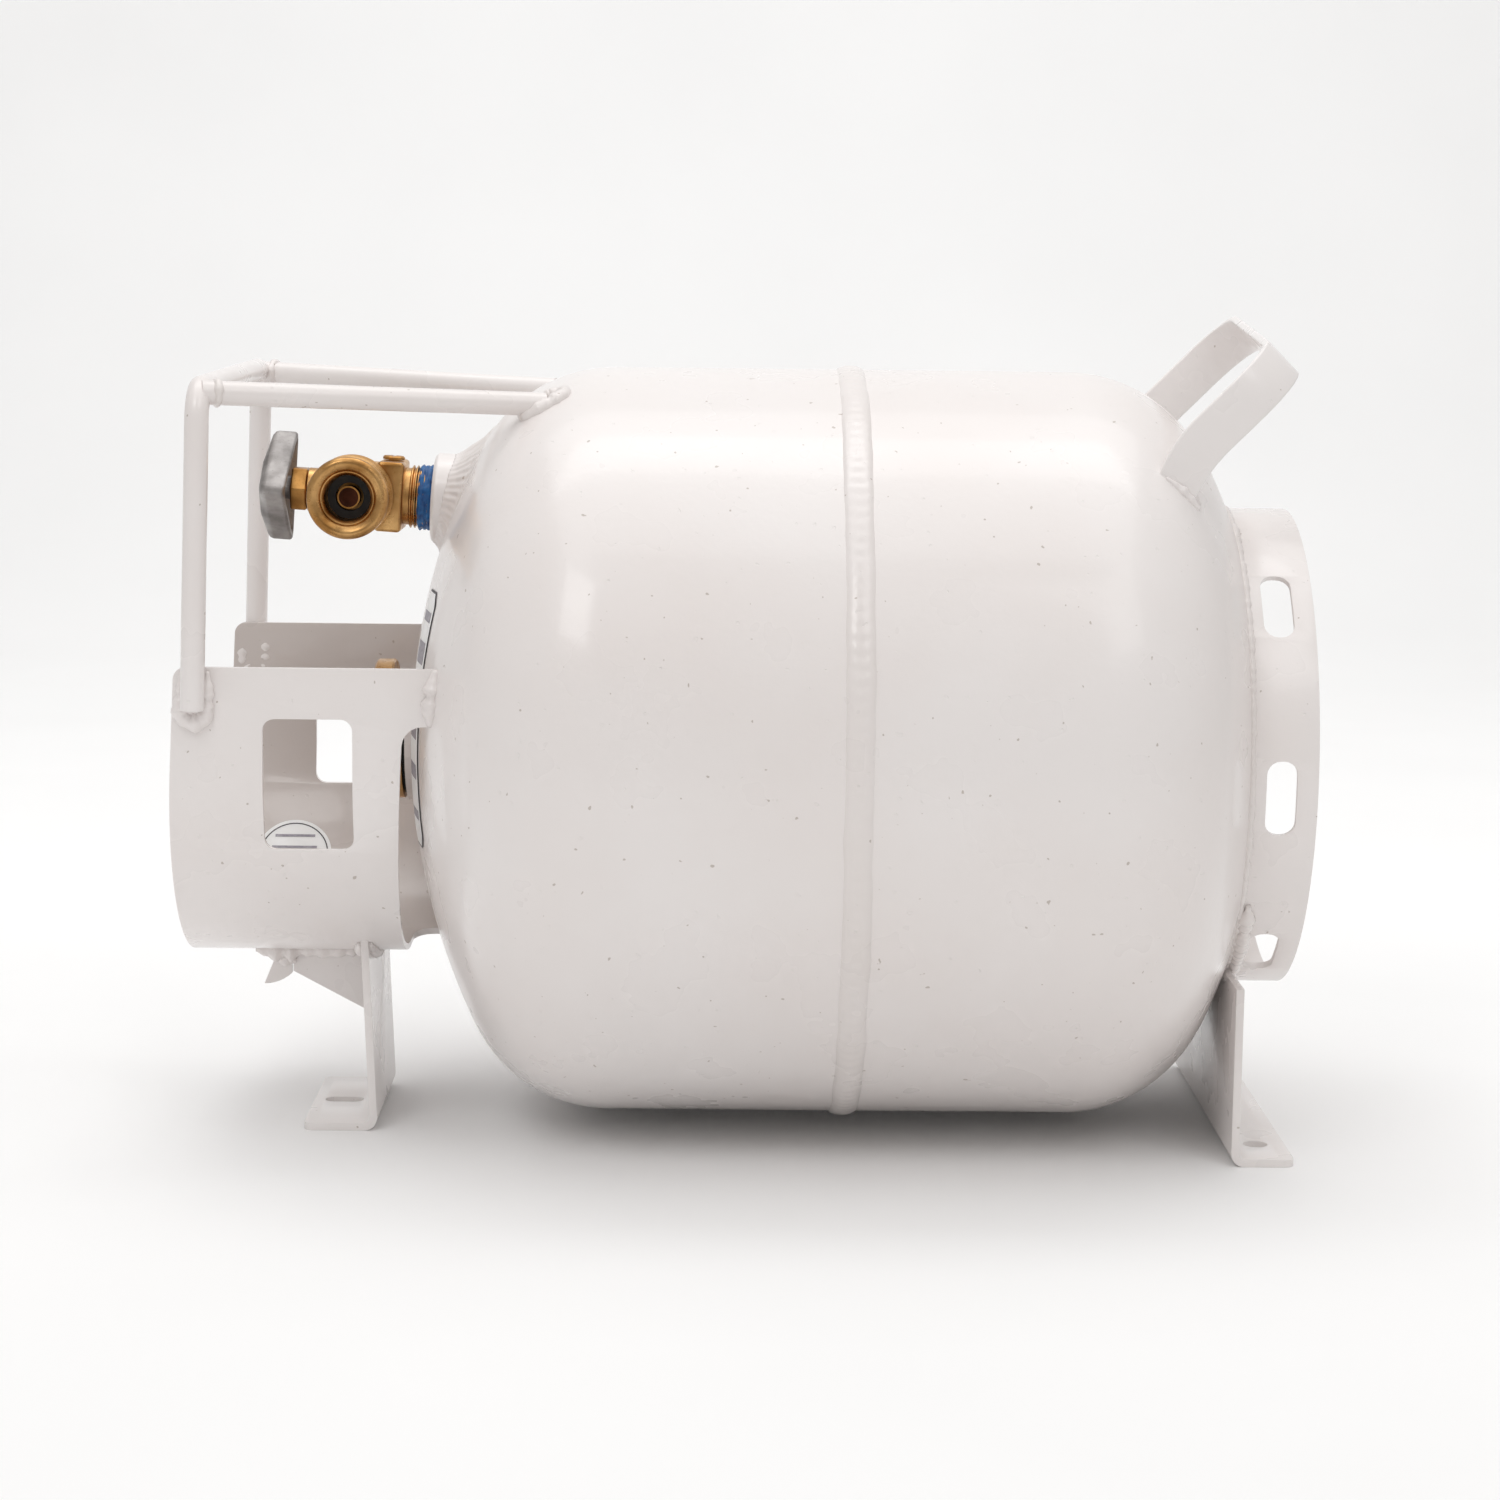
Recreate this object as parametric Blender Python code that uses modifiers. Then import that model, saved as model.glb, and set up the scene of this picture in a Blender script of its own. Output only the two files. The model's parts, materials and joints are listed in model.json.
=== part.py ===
"""A horizontal 20 lb LP-gas cylinder for a motorhome, with its guard, feet, service valve and level gauge.

Metres, +Z up. The tank's axis runs along X with the valve at the -X end, the valve's outlet faces -Y, and the
origin is on the mounting plane below the middle of the cylinder.
"""

from math import asin, cos, pi, radians, sin, sqrt, tan

import bmesh
import bpy
from mathutils import Matrix, Vector

# Driving dimensions
TANK_RADIUS = 0.1556  # 12 1/4 in over the shell
LENGTH = 0.4552  # from the guard collar's free edge to the foot ring's
AXIS_Z = 0.1608  # the tank's axis above the mounting plane
SHELL = 0.0030
SHEET = 0.0026  # the collar and the foot ring
PLATE = 0.0032  # the feet and the strap handle
BAR = 0.00475  # radius of the guard's 3/8 in bars
GAP = 0.0003  # between pieces that touch

# The shell
KNUCKLE = 0.062
CROWN = 0.270
VALVE_APEX_X = -0.1372
FOOT_APEX_X = 0.2201
SEAM_X = 0.0444
SEAM_WIDTH = 0.0115
SEAM_PROUD = 0.0020

# The guard collar, a trough open at the top
COLLAR_X = -LENGTH / 2
COLLAR_RADIUS = 0.0862
COLLAR_Z = AXIS_Z - 0.0040  # centre of the trough's round bottom
COLLAR_TOP = AXIS_Z + 0.0385
COLLAR_LEAN = 0.0036  # how far the top of its open end leans towards the tank
COLLAR_CORNER = 0.0048
WINDOW_X = (-0.1893, -0.1537)
WINDOW_Z = (AXIS_Z - 0.0350, AXIS_Z + 0.0182)
RELIEF_TOP = AXIS_Z + 0.0147  # top of the cut-out beside the dome
RELIEF_X = -0.1341
RELIEF_CORNER = 0.0085
RELIEF_LEAN = radians(2.4)
RELIEF_FAR_Y = 0.017

# The guard's bars
HOOP_TOP = AXIS_Z + 0.1478
HOOP_RISE = 0.0030  # how much higher it stands at the back
HOOP_X = -0.2125
HOOP_LEAN = 0.028  # how far the uprights run to -X for each metre down
HOOP_HALF = COLLAR_RADIUS + BAR + GAP
HOOP_FOOT = AXIS_Z + 0.0220
HOOP_BEND = 0.012
RAIL_END = (-0.0800, 0.0460, AXIS_Z + 0.1416)

# The foot ring
RING_X = LENGTH / 2
RING_RADIUS = 0.0997
SLOTS = 7
SLOT_PITCH = radians(46.4)
SLOT_FIRST = radians(-41.9)  # the upper front slot, measured downwards from the front
SLOT_LENGTH = 0.0300
SLOT_WIDTH = 0.0122
SLOT_X = 0.2132

# The feet
VALVE_FOOT_HALF = 0.0404
VALVE_FOOT_TOP_X = -0.1544
VALVE_FOOT_X = -0.1506
VALVE_FOOT_TIP_X = -0.1799
VALVE_FOOT_DROP = 0.0700  # from the centre of the collar to the top of the plate
RING_FOOT_HALF = 0.0855
RING_FOOT_X = 0.2019
RING_FOOT_TIP_X = 0.2262
RING_FOOT_TOP = AXIS_Z - 0.0874
BOLT_HOLE = (0.2140, 0.0610)
BOLT_HOLE_RADIUS = 0.0050
BEND = 0.0040
CORNER = 0.0040

# The strap handle, which leans at 45 degrees over the ring-end shoulder
HANDLE_HALF = 0.0905
HANDLE_WIDTH = 0.0185
HANDLE_OFFSET = 0.0484  # x - (z - AXIS_Z) along its middle
HANDLE_REACH = 0.3855  # x + (z - AXIS_Z) over the middle of its crown
HANDLE_SLANT = 0.12  # the crown's slope: its back end reaches further than its front end
HANDLE_BEND = 0.024
HANDLE_ROOT = 0.2550  # where its ends start, inside the shell's surface
HANDLE_CURL_START = 0.3180
HANDLE_CURL = 3.0

# The service valve, in a frame whose z runs out of the tank and whose x points up
VALVE_X = -0.1285
VALVE_Z = AXIS_Z + 0.1004
VALVE_TILT = radians(3.5)
BOSS_RADIUS = 0.0190
BOSS_DEPTH = 0.030
SHANK = 0.0129
INLET = 0.0050
SEAT_AT = 0.0170
BLOCK = (0.0120, 0.0230)
BLOCK_SIZE = 0.0290
OUTLET_AT = 0.0322
OUTLET_RADIUS = 0.0170
OUTLET_BORE = 0.0094
OUTLET_FACE = 0.0385
NECK = 0.0098
NECK_TOP = 0.0520
STEM = 0.0036
WHEEL_AT = 0.0595
WHEEL_THICK = 0.0115
OVERFILL_HANG = radians(14)  # how far the overfill float hangs below the valve's axis

# The level gauge, on the tank's axis
GAUGE_RADIUS = 0.0325
GAUGE_BASE = 0.0260
GAUGE_WINDOW = 0.0200
GAUGE_FACE = 0.0153  # in front of the dome
GAUGE_STEM_LENGTH = 0.095
GAUGE_ARM = 0.100
GAUGE_HANG = radians(50)  # how far the float hangs below the axis in an empty tank
NEEDLE_EMPTY = radians(100)  # from upright, where the needle points then

ROUND = 64  # segments round the tank
FINE = 32
COARSE = 16

TO_LEFT = (0.0, -pi / 2, 0.0)  # turns a piece's z axis to -X
TO_RIGHT = (0.0, pi / 2, 0.0)
TO_FRONT = (pi / 2, 0.0, 0.0)
BLOCK_MIDDLE = sum(BLOCK) / 2

for leftover in list(bpy.data.objects):
    bpy.data.objects.remove(leftover)
model = bpy.data.collections.new("propane_tank")
cutters = bpy.data.collections.new("cutters")
bpy.context.scene.collection.children.link(model)
bpy.context.scene.collection.children.link(cutters)
cutters.hide_render = True


def material(name, colour, roughness, metallic=0.0):
    made = bpy.data.materials.new(name)
    made.use_nodes = True
    shader = made.node_tree.nodes["Principled BSDF"]
    shader.inputs["Base Color"].default_value = (*colour, 1.0)
    shader.inputs["Roughness"].default_value = roughness
    shader.inputs["Metallic"].default_value = metallic
    return made


WHITE = material("white_powder_coat", (0.82, 0.80, 0.79), 0.25)
BRASS = material("brass", (0.62, 0.42, 0.20), 0.35, 1.0)
ZINC = material("cast_zinc", (0.36, 0.35, 0.36), 0.50, 0.6)
STEEL = material("plated_steel", (0.60, 0.60, 0.60), 0.30, 1.0)
SEALANT = material("blue_sealant", (0.02, 0.16, 0.36), 0.45)
RUBBER = material("black_rubber", (0.02, 0.02, 0.02), 0.60)
PLASTIC = material("float_plastic", (0.20, 0.20, 0.20), 0.50)
LENS = material("clear_lens", (0.90, 0.92, 0.92), 0.10)
DIAL = material("dial_print", (0.85, 0.85, 0.83), 0.50)


def empty(name, location, rotation=(0.0, 0.0, 0.0), parent=None):
    made = bpy.data.objects.new(name, None)
    made.location = location
    made.rotation_euler = rotation
    made.parent = parent
    model.objects.link(made)
    return made


def place(obj, slot=None, parent=None, location=(0.0, 0.0, 0.0), rotation=(0.0, 0.0, 0.0)):
    """Puts an object in the model with its material, or among the cutters without one."""
    obj.parent = parent
    obj.location = location
    obj.rotation_euler = rotation
    if slot is None:
        cutters.objects.link(obj)
        obj.hide_render = True
        obj.display_type = "WIRE"
    else:
        obj.data.materials.append(slot)
        model.objects.link(obj)
    return obj


def mesh_object(name, mesh_builder):
    mesh = bpy.data.meshes.new(name)
    shape = bmesh.new()
    mesh_builder(shape)
    bmesh.ops.recalc_face_normals(shape, faces=shape.faces)
    shape.to_mesh(mesh)
    shape.free()
    return bpy.data.objects.new(name, mesh)


def turned(name, profile, slot=None, steps=FINE, ring=False, **where):
    """A profile of (radius, height) points, from the top down, turned about z. A ring's is a loop."""
    mesh = bpy.data.meshes.new(name)
    count = len(profile)
    edges = [(i, i + 1) for i in range(count - 1)]
    if ring:
        edges.append((count - 1, 0))
    mesh.from_pydata([(radius, 0.0, height) for radius, height in profile], edges, [])
    obj = bpy.data.objects.new(name, mesh)
    screw = obj.modifiers.new("turn", "SCREW")
    screw.steps = steps
    screw.render_steps = steps
    screw.use_merge_vertices = True
    screw.merge_threshold = 0.00005
    screw.use_smooth_shade = True
    return place(obj, slot, **where)


def rod(name, radius, low, high, slot=None, steps=COARSE, **where):
    return turned(name, [(0.0, high), (radius, high), (radius, low), (0.0, low)], slot, steps, **where)


def sleeve(name, outer, inner, low, high, slot=None, steps=FINE, **where):
    profile = [(inner, high), (outer, high), (outer, low), (inner, low)]
    return turned(name, profile, slot, steps, ring=True, **where)


def block(name, size, slot=None, bevel=0.0, segments=2, **where):
    def build(shape):
        bmesh.ops.create_cube(shape, size=1.0, matrix=Matrix.Diagonal((*size, 1.0)))

    obj = place(mesh_object(name, build), slot, **where)
    if bevel:
        add_bevel(obj, bevel, segments)
    return obj


def add_bevel(obj, width, segments=2):
    bevel = obj.modifiers.new("bevel", "BEVEL")
    bevel.width = width
    bevel.segments = segments
    return bevel


def cut(obj, cutter, operation="DIFFERENCE", solver="EXACT"):
    boolean = obj.modifiers.new(cutter.name, "BOOLEAN")
    boolean.operation = operation
    boolean.solver = solver
    boolean.object = cutter
    return boolean


def bar(name, points, radius, slot, parent=None, sides=2):
    """A round bar along straight runs and bends, made a mesh so that it can be cut."""
    data = bpy.data.curves.new(name, "CURVE")
    data.dimensions = "3D"
    data.bevel_depth = radius
    data.bevel_resolution = sides
    data.use_fill_caps = True
    spline = data.splines.new("POLY")
    spline.points.add(len(points) - 1)
    for point, place_at in zip(spline.points, points):
        point.co = (*place_at, 1.0)
    return as_mesh(bpy.data.objects.new(name, data), slot, parent)


def outline(name, points, thickness, slot, parent=None, location=(0.0, 0.0, 0.0), rotation=(0.0, 0.0, 0.0)):
    """A flat plate of a closed outline, its thickness centred on its plane."""
    data = bpy.data.curves.new(name, "CURVE")
    data.dimensions = "2D"
    data.fill_mode = "BOTH"
    data.extrude = thickness / 2
    spline = data.splines.new("POLY")
    spline.points.add(len(points) - 1)
    for point, (x, y) in zip(spline.points, points):
        point.co = (x, y, 0.0, 1.0)
    spline.use_cyclic_u = True
    made = as_mesh(bpy.data.objects.new(name, data), slot, parent)
    made.location = location
    made.rotation_euler = rotation
    return made


def as_mesh(curve, slot, parent):
    bpy.context.scene.collection.objects.link(curve)
    graph = bpy.context.evaluated_depsgraph_get()
    mesh = bpy.data.meshes.new_from_object(curve.evaluated_get(graph))
    name = curve.name
    bpy.data.objects.remove(curve)
    shape = bmesh.new()
    shape.from_mesh(mesh)
    bmesh.ops.remove_doubles(shape, verts=shape.verts, dist=0.00001)
    bmesh.ops.recalc_face_normals(shape, faces=shape.faces)
    shape.to_mesh(mesh)
    shape.free()
    mesh.materials.clear()
    made = place(bpy.data.objects.new(name, mesh), slot, parent)
    made.data.name = name
    return made


def strip(name, path, half_widths, thickness, slot, across=Vector((0.0, 1.0, 0.0)), offset=0.0, shift=None):
    """A bent flat bar: a path, the half width at each of its points, and the direction across it."""
    lanes = (-1.0, 1.0)

    def build(shape):
        rows = []
        for centre, half in zip(path, half_widths):
            row = []
            for side in lanes:
                point = Vector(centre) + across * side * half
                if shift:
                    point += shift(point)
                row.append(shape.verts.new(point))
            rows.append(row)
        for first, second in zip(rows, rows[1:]):
            shape.faces.new((first[0], first[1], second[1], second[0]))

    obj = place(mesh_object(name, build), slot)
    solid = obj.modifiers.new("thickness", "SOLIDIFY")
    solid.thickness = thickness
    solid.offset = offset
    solid.use_even_offset = True
    return obj


def arc(centre, radius, start, end, steps):
    """Points of a circle in a plane, from one angle to another."""
    angles = [start + (end - start) * i / steps for i in range(steps + 1)]
    return [(centre[0] + radius * cos(a), centre[1] + radius * sin(a)) for a in angles]


def bend_path(corners, radius, steps=5):
    """A path of straight runs whose inner corners are rounded."""
    path = [Vector(corners[0])]
    for before, corner, after in zip(corners, corners[1:], corners[2:]):
        corner = Vector(corner)
        to_before = (Vector(before) - corner).normalized()
        to_after = (Vector(after) - corner).normalized()
        half = to_before.angle(to_after) / 2
        setback = radius / tan(half)
        centre = corner + (to_before + to_after).normalized() * radius / sin(half)
        first = corner + to_before * setback - centre
        last = corner + to_after * setback - centre
        for i in range(steps + 1):
            path.append(centre + first.slerp(last, i / steps) * radius)
    path.append(Vector(corners[-1]))
    return path


def rounded_end(path, half, radius, steps=4):
    """Rounds the two corners at the end of a strip. Returns its path and its half widths."""
    end = path[-1]
    along = (end - path[-2]).normalized()
    widths = [half] * (len(path) - 1)
    points = path[:-1]
    for i in range(steps + 1):
        turn = pi / 2 * i / steps
        points.append(end - along * radius * (1 - sin(turn)))
        widths.append(half - radius * (1 - cos(turn)))
    return points, widths


# The shell


def head_profile(radius, knuckle, crown, bends=6, crowns=5):
    """(radius, distance from the apex) points of a dished head, from its skirt to its apex."""
    turn = asin((radius - knuckle) / (crown - knuckle))
    depth = crown - sqrt((crown - knuckle) ** 2 - (radius - knuckle) ** 2)
    points = []
    for i in range(bends + 1):
        angle = (pi / 2 - turn) * i / bends
        points.append((radius - knuckle + knuckle * cos(angle), depth - knuckle * sin(angle)))
    for i in range(1, crowns + 1):
        angle = turn * (1 - i / crowns)
        points.append((crown * sin(angle), crown * (1 - cos(angle))))
    return points


def half_shell(name, apex_x, inward):
    """One drawn half: a dished head and half of the straight part, open at the girth seam."""
    outer = head_profile(TANK_RADIUS, KNUCKLE, CROWN)
    inner = head_profile(TANK_RADIUS - SHELL, KNUCKLE - SHELL, CROWN - SHELL, 4, 3)
    mouth = abs(SEAM_X - apex_x) - GAP / 2
    profile = [(radius, -depth) for radius, depth in reversed(outer)]
    profile += [(TANK_RADIUS, -mouth), (TANK_RADIUS - SHELL, -mouth)]
    profile += [(radius, -depth - SHELL) for radius, depth in inner]
    facing = TO_LEFT if inward > 0 else TO_RIGHT
    return turned(name, profile, WHITE, ROUND, location=(apex_x, 0.0, AXIS_Z), rotation=facing)


def tank_cutter():
    """The whole tank's outside, a gap larger, which trims whatever is welded onto it."""
    head = [(radius + GAP, depth) for radius, depth in head_profile(TANK_RADIUS, KNUCKLE, CROWN, 8, 8)]
    head[-1] = (0.0, head[-1][1])
    span = FOOT_APEX_X - VALVE_APEX_X
    profile = [(radius, span + GAP - depth) for radius, depth in reversed(head)]
    profile += [(radius, depth - GAP) for radius, depth in head]
    where = {"location": (VALVE_APEX_X, 0.0, AXIS_Z), "rotation": TO_RIGHT}
    return turned("tank_cutter", profile, None, ROUND, **where)


def girth_weld():
    half = SEAM_WIDTH / 2
    low = TANK_RADIUS + GAP
    high = TANK_RADIUS + SEAM_PROUD
    crest = [(low, half), (high - 0.0007, half * 0.72), (high, half * 0.3)]
    profile = crest + [(radius, -height) for radius, height in reversed(crest)]
    turned("girth_weld", profile, WHITE, ROUND, ring=True, location=(SEAM_X, 0.0, AXIS_Z), rotation=TO_RIGHT)


# The guard


def collar_section(radius, steps=20):
    """The trough's section in (y, z): two upright walls and a round bottom."""
    bottom = arc((0.0, COLLAR_Z), radius, pi, 2 * pi, steps)
    heights = [COLLAR_TOP - COLLAR_CORNER * (1 - cos(pi / 2 * i / 4)) for i in range(5)]
    front = [(-radius, z) for z in heights]
    back = [(radius, z) for z in reversed(heights)]
    return front + bottom + back


def collar_end(z):
    """X of the trough's open end, which leans back as it rises and is rounded at its top corners."""
    share = (z - COLLAR_Z + COLLAR_RADIUS) / (COLLAR_TOP - COLLAR_Z + COLLAR_RADIUS)
    near_top = max(0.0, 1 - (COLLAR_TOP - z) / COLLAR_CORNER)
    return COLLAR_X + COLLAR_LEAN * share**2 + COLLAR_CORNER * (1 - sqrt(1 - near_top**2))


def guard_collar(tank):
    """The trough, trimmed to the head, with a window through each side and a cut-out beside the head."""
    section = collar_section(COLLAR_RADIUS - SHEET / 2)
    inner_end = -0.085

    def build(shape):
        open_end = [shape.verts.new((collar_end(z), y, z)) for y, z in section]
        tank_end = [shape.verts.new((inner_end, y, z)) for y, z in section]
        for i in range(len(section) - 1):
            shape.faces.new((open_end[i], open_end[i + 1], tank_end[i + 1], tank_end[i]))

    collar = place(mesh_object("guard_collar", build), WHITE)
    solid = collar.modifiers.new("sheet", "SOLIDIFY")
    solid.thickness = SHEET
    solid.offset = 0.0
    solid.use_even_offset = True
    cut(collar, tank)
    cut(collar, window_cutter())
    cut(collar, relief_cutter())


def window_cutter():
    size = (WINDOW_X[1] - WINDOW_X[0], 0.3, WINDOW_Z[1] - WINDOW_Z[0])
    window = block("collar_windows", size, location=(sum(WINDOW_X) / 2, 0.0, sum(WINDOW_Z) / 2))
    add_bevel(window, CORNER, 3)
    return window


def relief_cutter():
    """The leaning cut-out beside the head, from the front of the trough to a little past its bottom."""
    width = 0.060
    deep = 0.140
    where = (
        RELIEF_X + width / 2 - deep / 2 * sin(RELIEF_LEAN),
        RELIEF_FAR_Y / 2 - deep / 2,
        RELIEF_TOP - deep / 2,
    )
    size = (width, deep + RELIEF_FAR_Y, deep)
    relief = block("collar_relief", size, location=where, rotation=(0.0, RELIEF_LEAN, 0.0))
    add_bevel(relief, RELIEF_CORNER, 4)
    return relief


def hoop_x(z):
    return HOOP_X - HOOP_LEAN * (HOOP_TOP - z)


def guard_hoop():
    corners = [
        (hoop_x(HOOP_FOOT), -HOOP_HALF, HOOP_FOOT),
        (HOOP_X, -HOOP_HALF, HOOP_TOP),
        (HOOP_X, HOOP_HALF, HOOP_TOP + HOOP_RISE),
        (hoop_x(HOOP_FOOT), HOOP_HALF, HOOP_FOOT),
    ]
    path = bend_path(corners, HOOP_BEND)
    bar("guard_hoop", path, BAR, WHITE)
    return bar("hoop_cutter", path, BAR + GAP, None)


def guard_rail(name, side, tank, hoop):
    """From the hoop's corner to the dome, shaped at each end to what it is welded to."""
    rise = HOOP_RISE if side > 0 else 0.0
    start = Vector((HOOP_X + 0.0030, side * (HOOP_HALF - 0.0045), HOOP_TOP + rise - 0.0015))
    end = Vector((RAIL_END[0], side * RAIL_END[1], RAIL_END[2] + rise))
    rail = bar(name, [start, end], BAR, WHITE)
    cut(rail, tank)
    cut(rail, hoop)


# The foot ring


def foot_ring(tank):
    """A rolled band with oblong slots, trimmed to the head it is welded to."""
    on_axis = {"location": (0.0, 0.0, AXIS_Z), "rotation": TO_RIGHT}
    ring = sleeve("foot_ring", RING_RADIUS, RING_RADIUS - SHEET, 0.19, RING_X, WHITE, 48, **on_axis)
    cut(ring, tank)
    size = (SLOT_WIDTH, 0.02, SLOT_LENGTH)
    for i in range(SLOTS):
        angle = SLOT_FIRST + i * SLOT_PITCH
        where = (SLOT_X, -RING_RADIUS * cos(angle), AXIS_Z - RING_RADIUS * sin(angle))
        slot = block(f"ring_slot_{i + 1}", size, location=where, rotation=(angle, 0.0, 0.0))
        add_bevel(slot, 0.0045, 2)
        cut(ring, slot)


# The feet


def foot_bracket(name, path_corners, half):
    path = bend_path(path_corners, BEND, 4)
    points, widths = rounded_end(path, half, CORNER)
    return strip(name, points, widths, PLATE, WHITE)


def valve_foot():
    """The narrow foot under the collar, bent from one plate, with an oblong bolt hole in its flange."""
    middle = PLATE / 2
    corners = [
        (VALVE_FOOT_TOP_X, 0.0, COLLAR_Z - VALVE_FOOT_DROP),
        (VALVE_FOOT_X, 0.0, middle),
        (VALVE_FOOT_TIP_X, 0.0, middle),
    ]
    foot = foot_bracket("valve_end_foot", corners, VALVE_FOOT_HALF)
    where = {"location": (0.0, 0.0, COLLAR_Z), "rotation": TO_RIGHT}
    collar_body = rod("collar_outside", COLLAR_RADIUS + GAP, -0.30, -0.05, steps=ROUND, **where)
    cut(foot, collar_body)
    hole = block("valve_foot_slot", (0.0165, 0.0085, 0.02), location=(VALVE_FOOT_X - 0.0165, 0.0, 0.0))
    add_bevel(hole, 0.0041, 3)
    cut(foot, hole)
    return collar_body


def valve_foot_gusset(collar_body):
    """The web between the collar and the upright of the valve-end foot."""
    tip_x = -0.1884
    top = COLLAR_Z - 0.0800
    tip_z = COLLAR_Z - 0.0973
    low = COLLAR_Z - 0.1155
    points = [(tip_x, top), (tip_x, tip_z), (upright_face(low), low), (upright_face(top), top)]
    web = outline("foot_gusset", points, PLATE, WHITE, rotation=TO_FRONT)
    cut(web, collar_body)


def upright_face(z):
    """X of the outer face of the valve-end foot's leaning upright, a gap clear of it."""
    top_z = COLLAR_Z - VALVE_FOOT_DROP
    share = (top_z - z) / (top_z - PLATE / 2)
    return VALVE_FOOT_TOP_X + (VALVE_FOOT_X - VALVE_FOOT_TOP_X) * share - PLATE / 2 - GAP


def collar_tab(collar_body):
    """The short curved tongue under the collar, ahead of the gusset."""
    lower = arc((-0.2008, COLLAR_Z - 0.0856), 0.0173, radians(-90), radians(-47), 6)
    top = COLLAR_Z - 0.0850
    tab = outline("collar_tab", lower + [(-0.1890, top), (-0.1935, top)], PLATE, WHITE, rotation=TO_FRONT)
    cut(tab, collar_body)


def ring_foot(tank):
    """The wide foot under the ring, with a bolt hole near each end of its flange."""
    middle = PLATE / 2
    corners = [
        (RING_FOOT_X, 0.0, RING_FOOT_TOP),
        (RING_FOOT_X, 0.0, middle),
        (RING_FOOT_TIP_X, 0.0, middle),
    ]
    foot = foot_bracket("ring_end_foot", corners, RING_FOOT_HALF)
    where = {"location": (0.0, 0.0, AXIS_Z), "rotation": TO_RIGHT}
    ring_body = rod("ring_outside", RING_RADIUS + GAP, 0.15, 0.27, steps=ROUND, **where)
    cut(foot, tank)
    cut(foot, ring_body)
    for side in (-1, 1):
        where = (BOLT_HOLE[0], side * BOLT_HOLE[1], 0.0)
        cut(foot, rod(f"ring_foot_hole_{side}", BOLT_HOLE_RADIUS, -0.01, 0.01, location=where))


# The handle


def handle_point(offset, reach, y):
    """A point from its x - z and x + z, both taken from the tank's axis."""
    return Vector(((reach + offset) / 2, y, AXIS_Z + (reach - offset) / 2))


def split_ends(path, pieces):
    """Adds points along a path's first and last straight runs, so that they can be curved."""
    first = [path[0].lerp(path[1], i / pieces) for i in range(pieces)]
    last = [path[-2].lerp(path[-1], (i + 1) / pieces) for i in range(pieces)]
    return first + path[1:-1] + last


def strap_handle(tank):
    """A flat bar bent to a U, whose ends curve down onto the shoulder of the head."""
    reach = HANDLE_REACH - PLATE / 2
    half = HANDLE_HALF - PLATE / 2
    corners = [
        handle_point(HANDLE_OFFSET, HANDLE_ROOT, -half),
        handle_point(HANDLE_OFFSET, reach - HANDLE_SLANT * half, -half),
        handle_point(HANDLE_OFFSET, reach + HANDLE_SLANT * half, half),
        handle_point(HANDLE_OFFSET, HANDLE_ROOT, half),
    ]
    path = split_ends(bend_path(corners, HANDLE_BEND, 6), 4)
    down_head = Vector((1.0, 0.0, -1.0))

    def curl(point):
        """How far a point of the strap swings down the head: more the nearer it is to the root."""
        distance = max(0.0, HANDLE_CURL_START - (point.x + point.z - AXIS_Z))
        return down_head * distance**2 * HANDLE_CURL

    widths = [HANDLE_WIDTH / 2] * len(path)
    strap = strip("strap_handle", path, widths, PLATE, WHITE, across=down_head.normalized(), shift=curl)
    cut(strap, tank)


# The service valve


def weld_boss(frame, shell):
    sleeve("valve_boss", BOSS_RADIUS, SHANK + GAP, -BOSS_DEPTH, 0.0, WHITE, FINE, parent=frame)
    cut(shell, rod("boss_hole", BOSS_RADIUS + GAP, -0.08, 0.03, steps=FINE, parent=frame))


def valve_body(frame):
    """The brass forging: threaded shank, wrench block, barrel, outlet and relief housing."""
    shank = [(0.0, 0.020), (SHANK, 0.020), (SHANK, -0.022), (0.0, -0.022)]
    body = turned("valve_body", shank, BRASS, FINE, parent=frame)
    size = (BLOCK_SIZE, 0.028, BLOCK[1] - BLOCK[0])
    wrench = block("body_block", size, bevel=0.0025, parent=frame, location=(0.0, 0.0, BLOCK_MIDDLE))
    neck = [(0.0, NECK_TOP), (NECK, NECK_TOP), (NECK, 0.0450)]
    chamber = [(0.0135, 0.0410), (0.0135, 0.0210), (0.0, 0.0210)]
    barrel = turned("body_barrel", neck + chamber, steps=24, parent=frame)
    profile = [
        (0.0, OUTLET_FACE),
        (0.0120, OUTLET_FACE),
        (0.0125, OUTLET_FACE - 0.0012),
        (0.0150, OUTLET_FACE - 0.0020),
        (OUTLET_RADIUS, OUTLET_FACE - 0.0045),
        (OUTLET_RADIUS, 0.0160),
        (0.0140, 0.0130),
        (0.0140, 0.0020),
        (0.0, 0.0020),
    ]
    outlet = turned("body_outlet", profile, **at_outlet(frame))
    relief = rod("body_relief", 0.0100, -0.0250, -0.0020, steps=24, **at_outlet(frame))
    for piece in (wrench, barrel, outlet, relief):
        cut(body, piece, "UNION", "MANIFOLD")
    valve_bores(frame, body)


def at_outlet(frame):
    """Where the outlet's own axis lies, as arguments of a turned piece."""
    return {"parent": frame, "location": (0.0, 0.0, OUTLET_AT), "rotation": TO_FRONT}


def at_bleeder(frame):
    return {"parent": frame, "location": (0.0, 0.0, BLOCK_MIDDLE), "rotation": TO_RIGHT}


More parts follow.
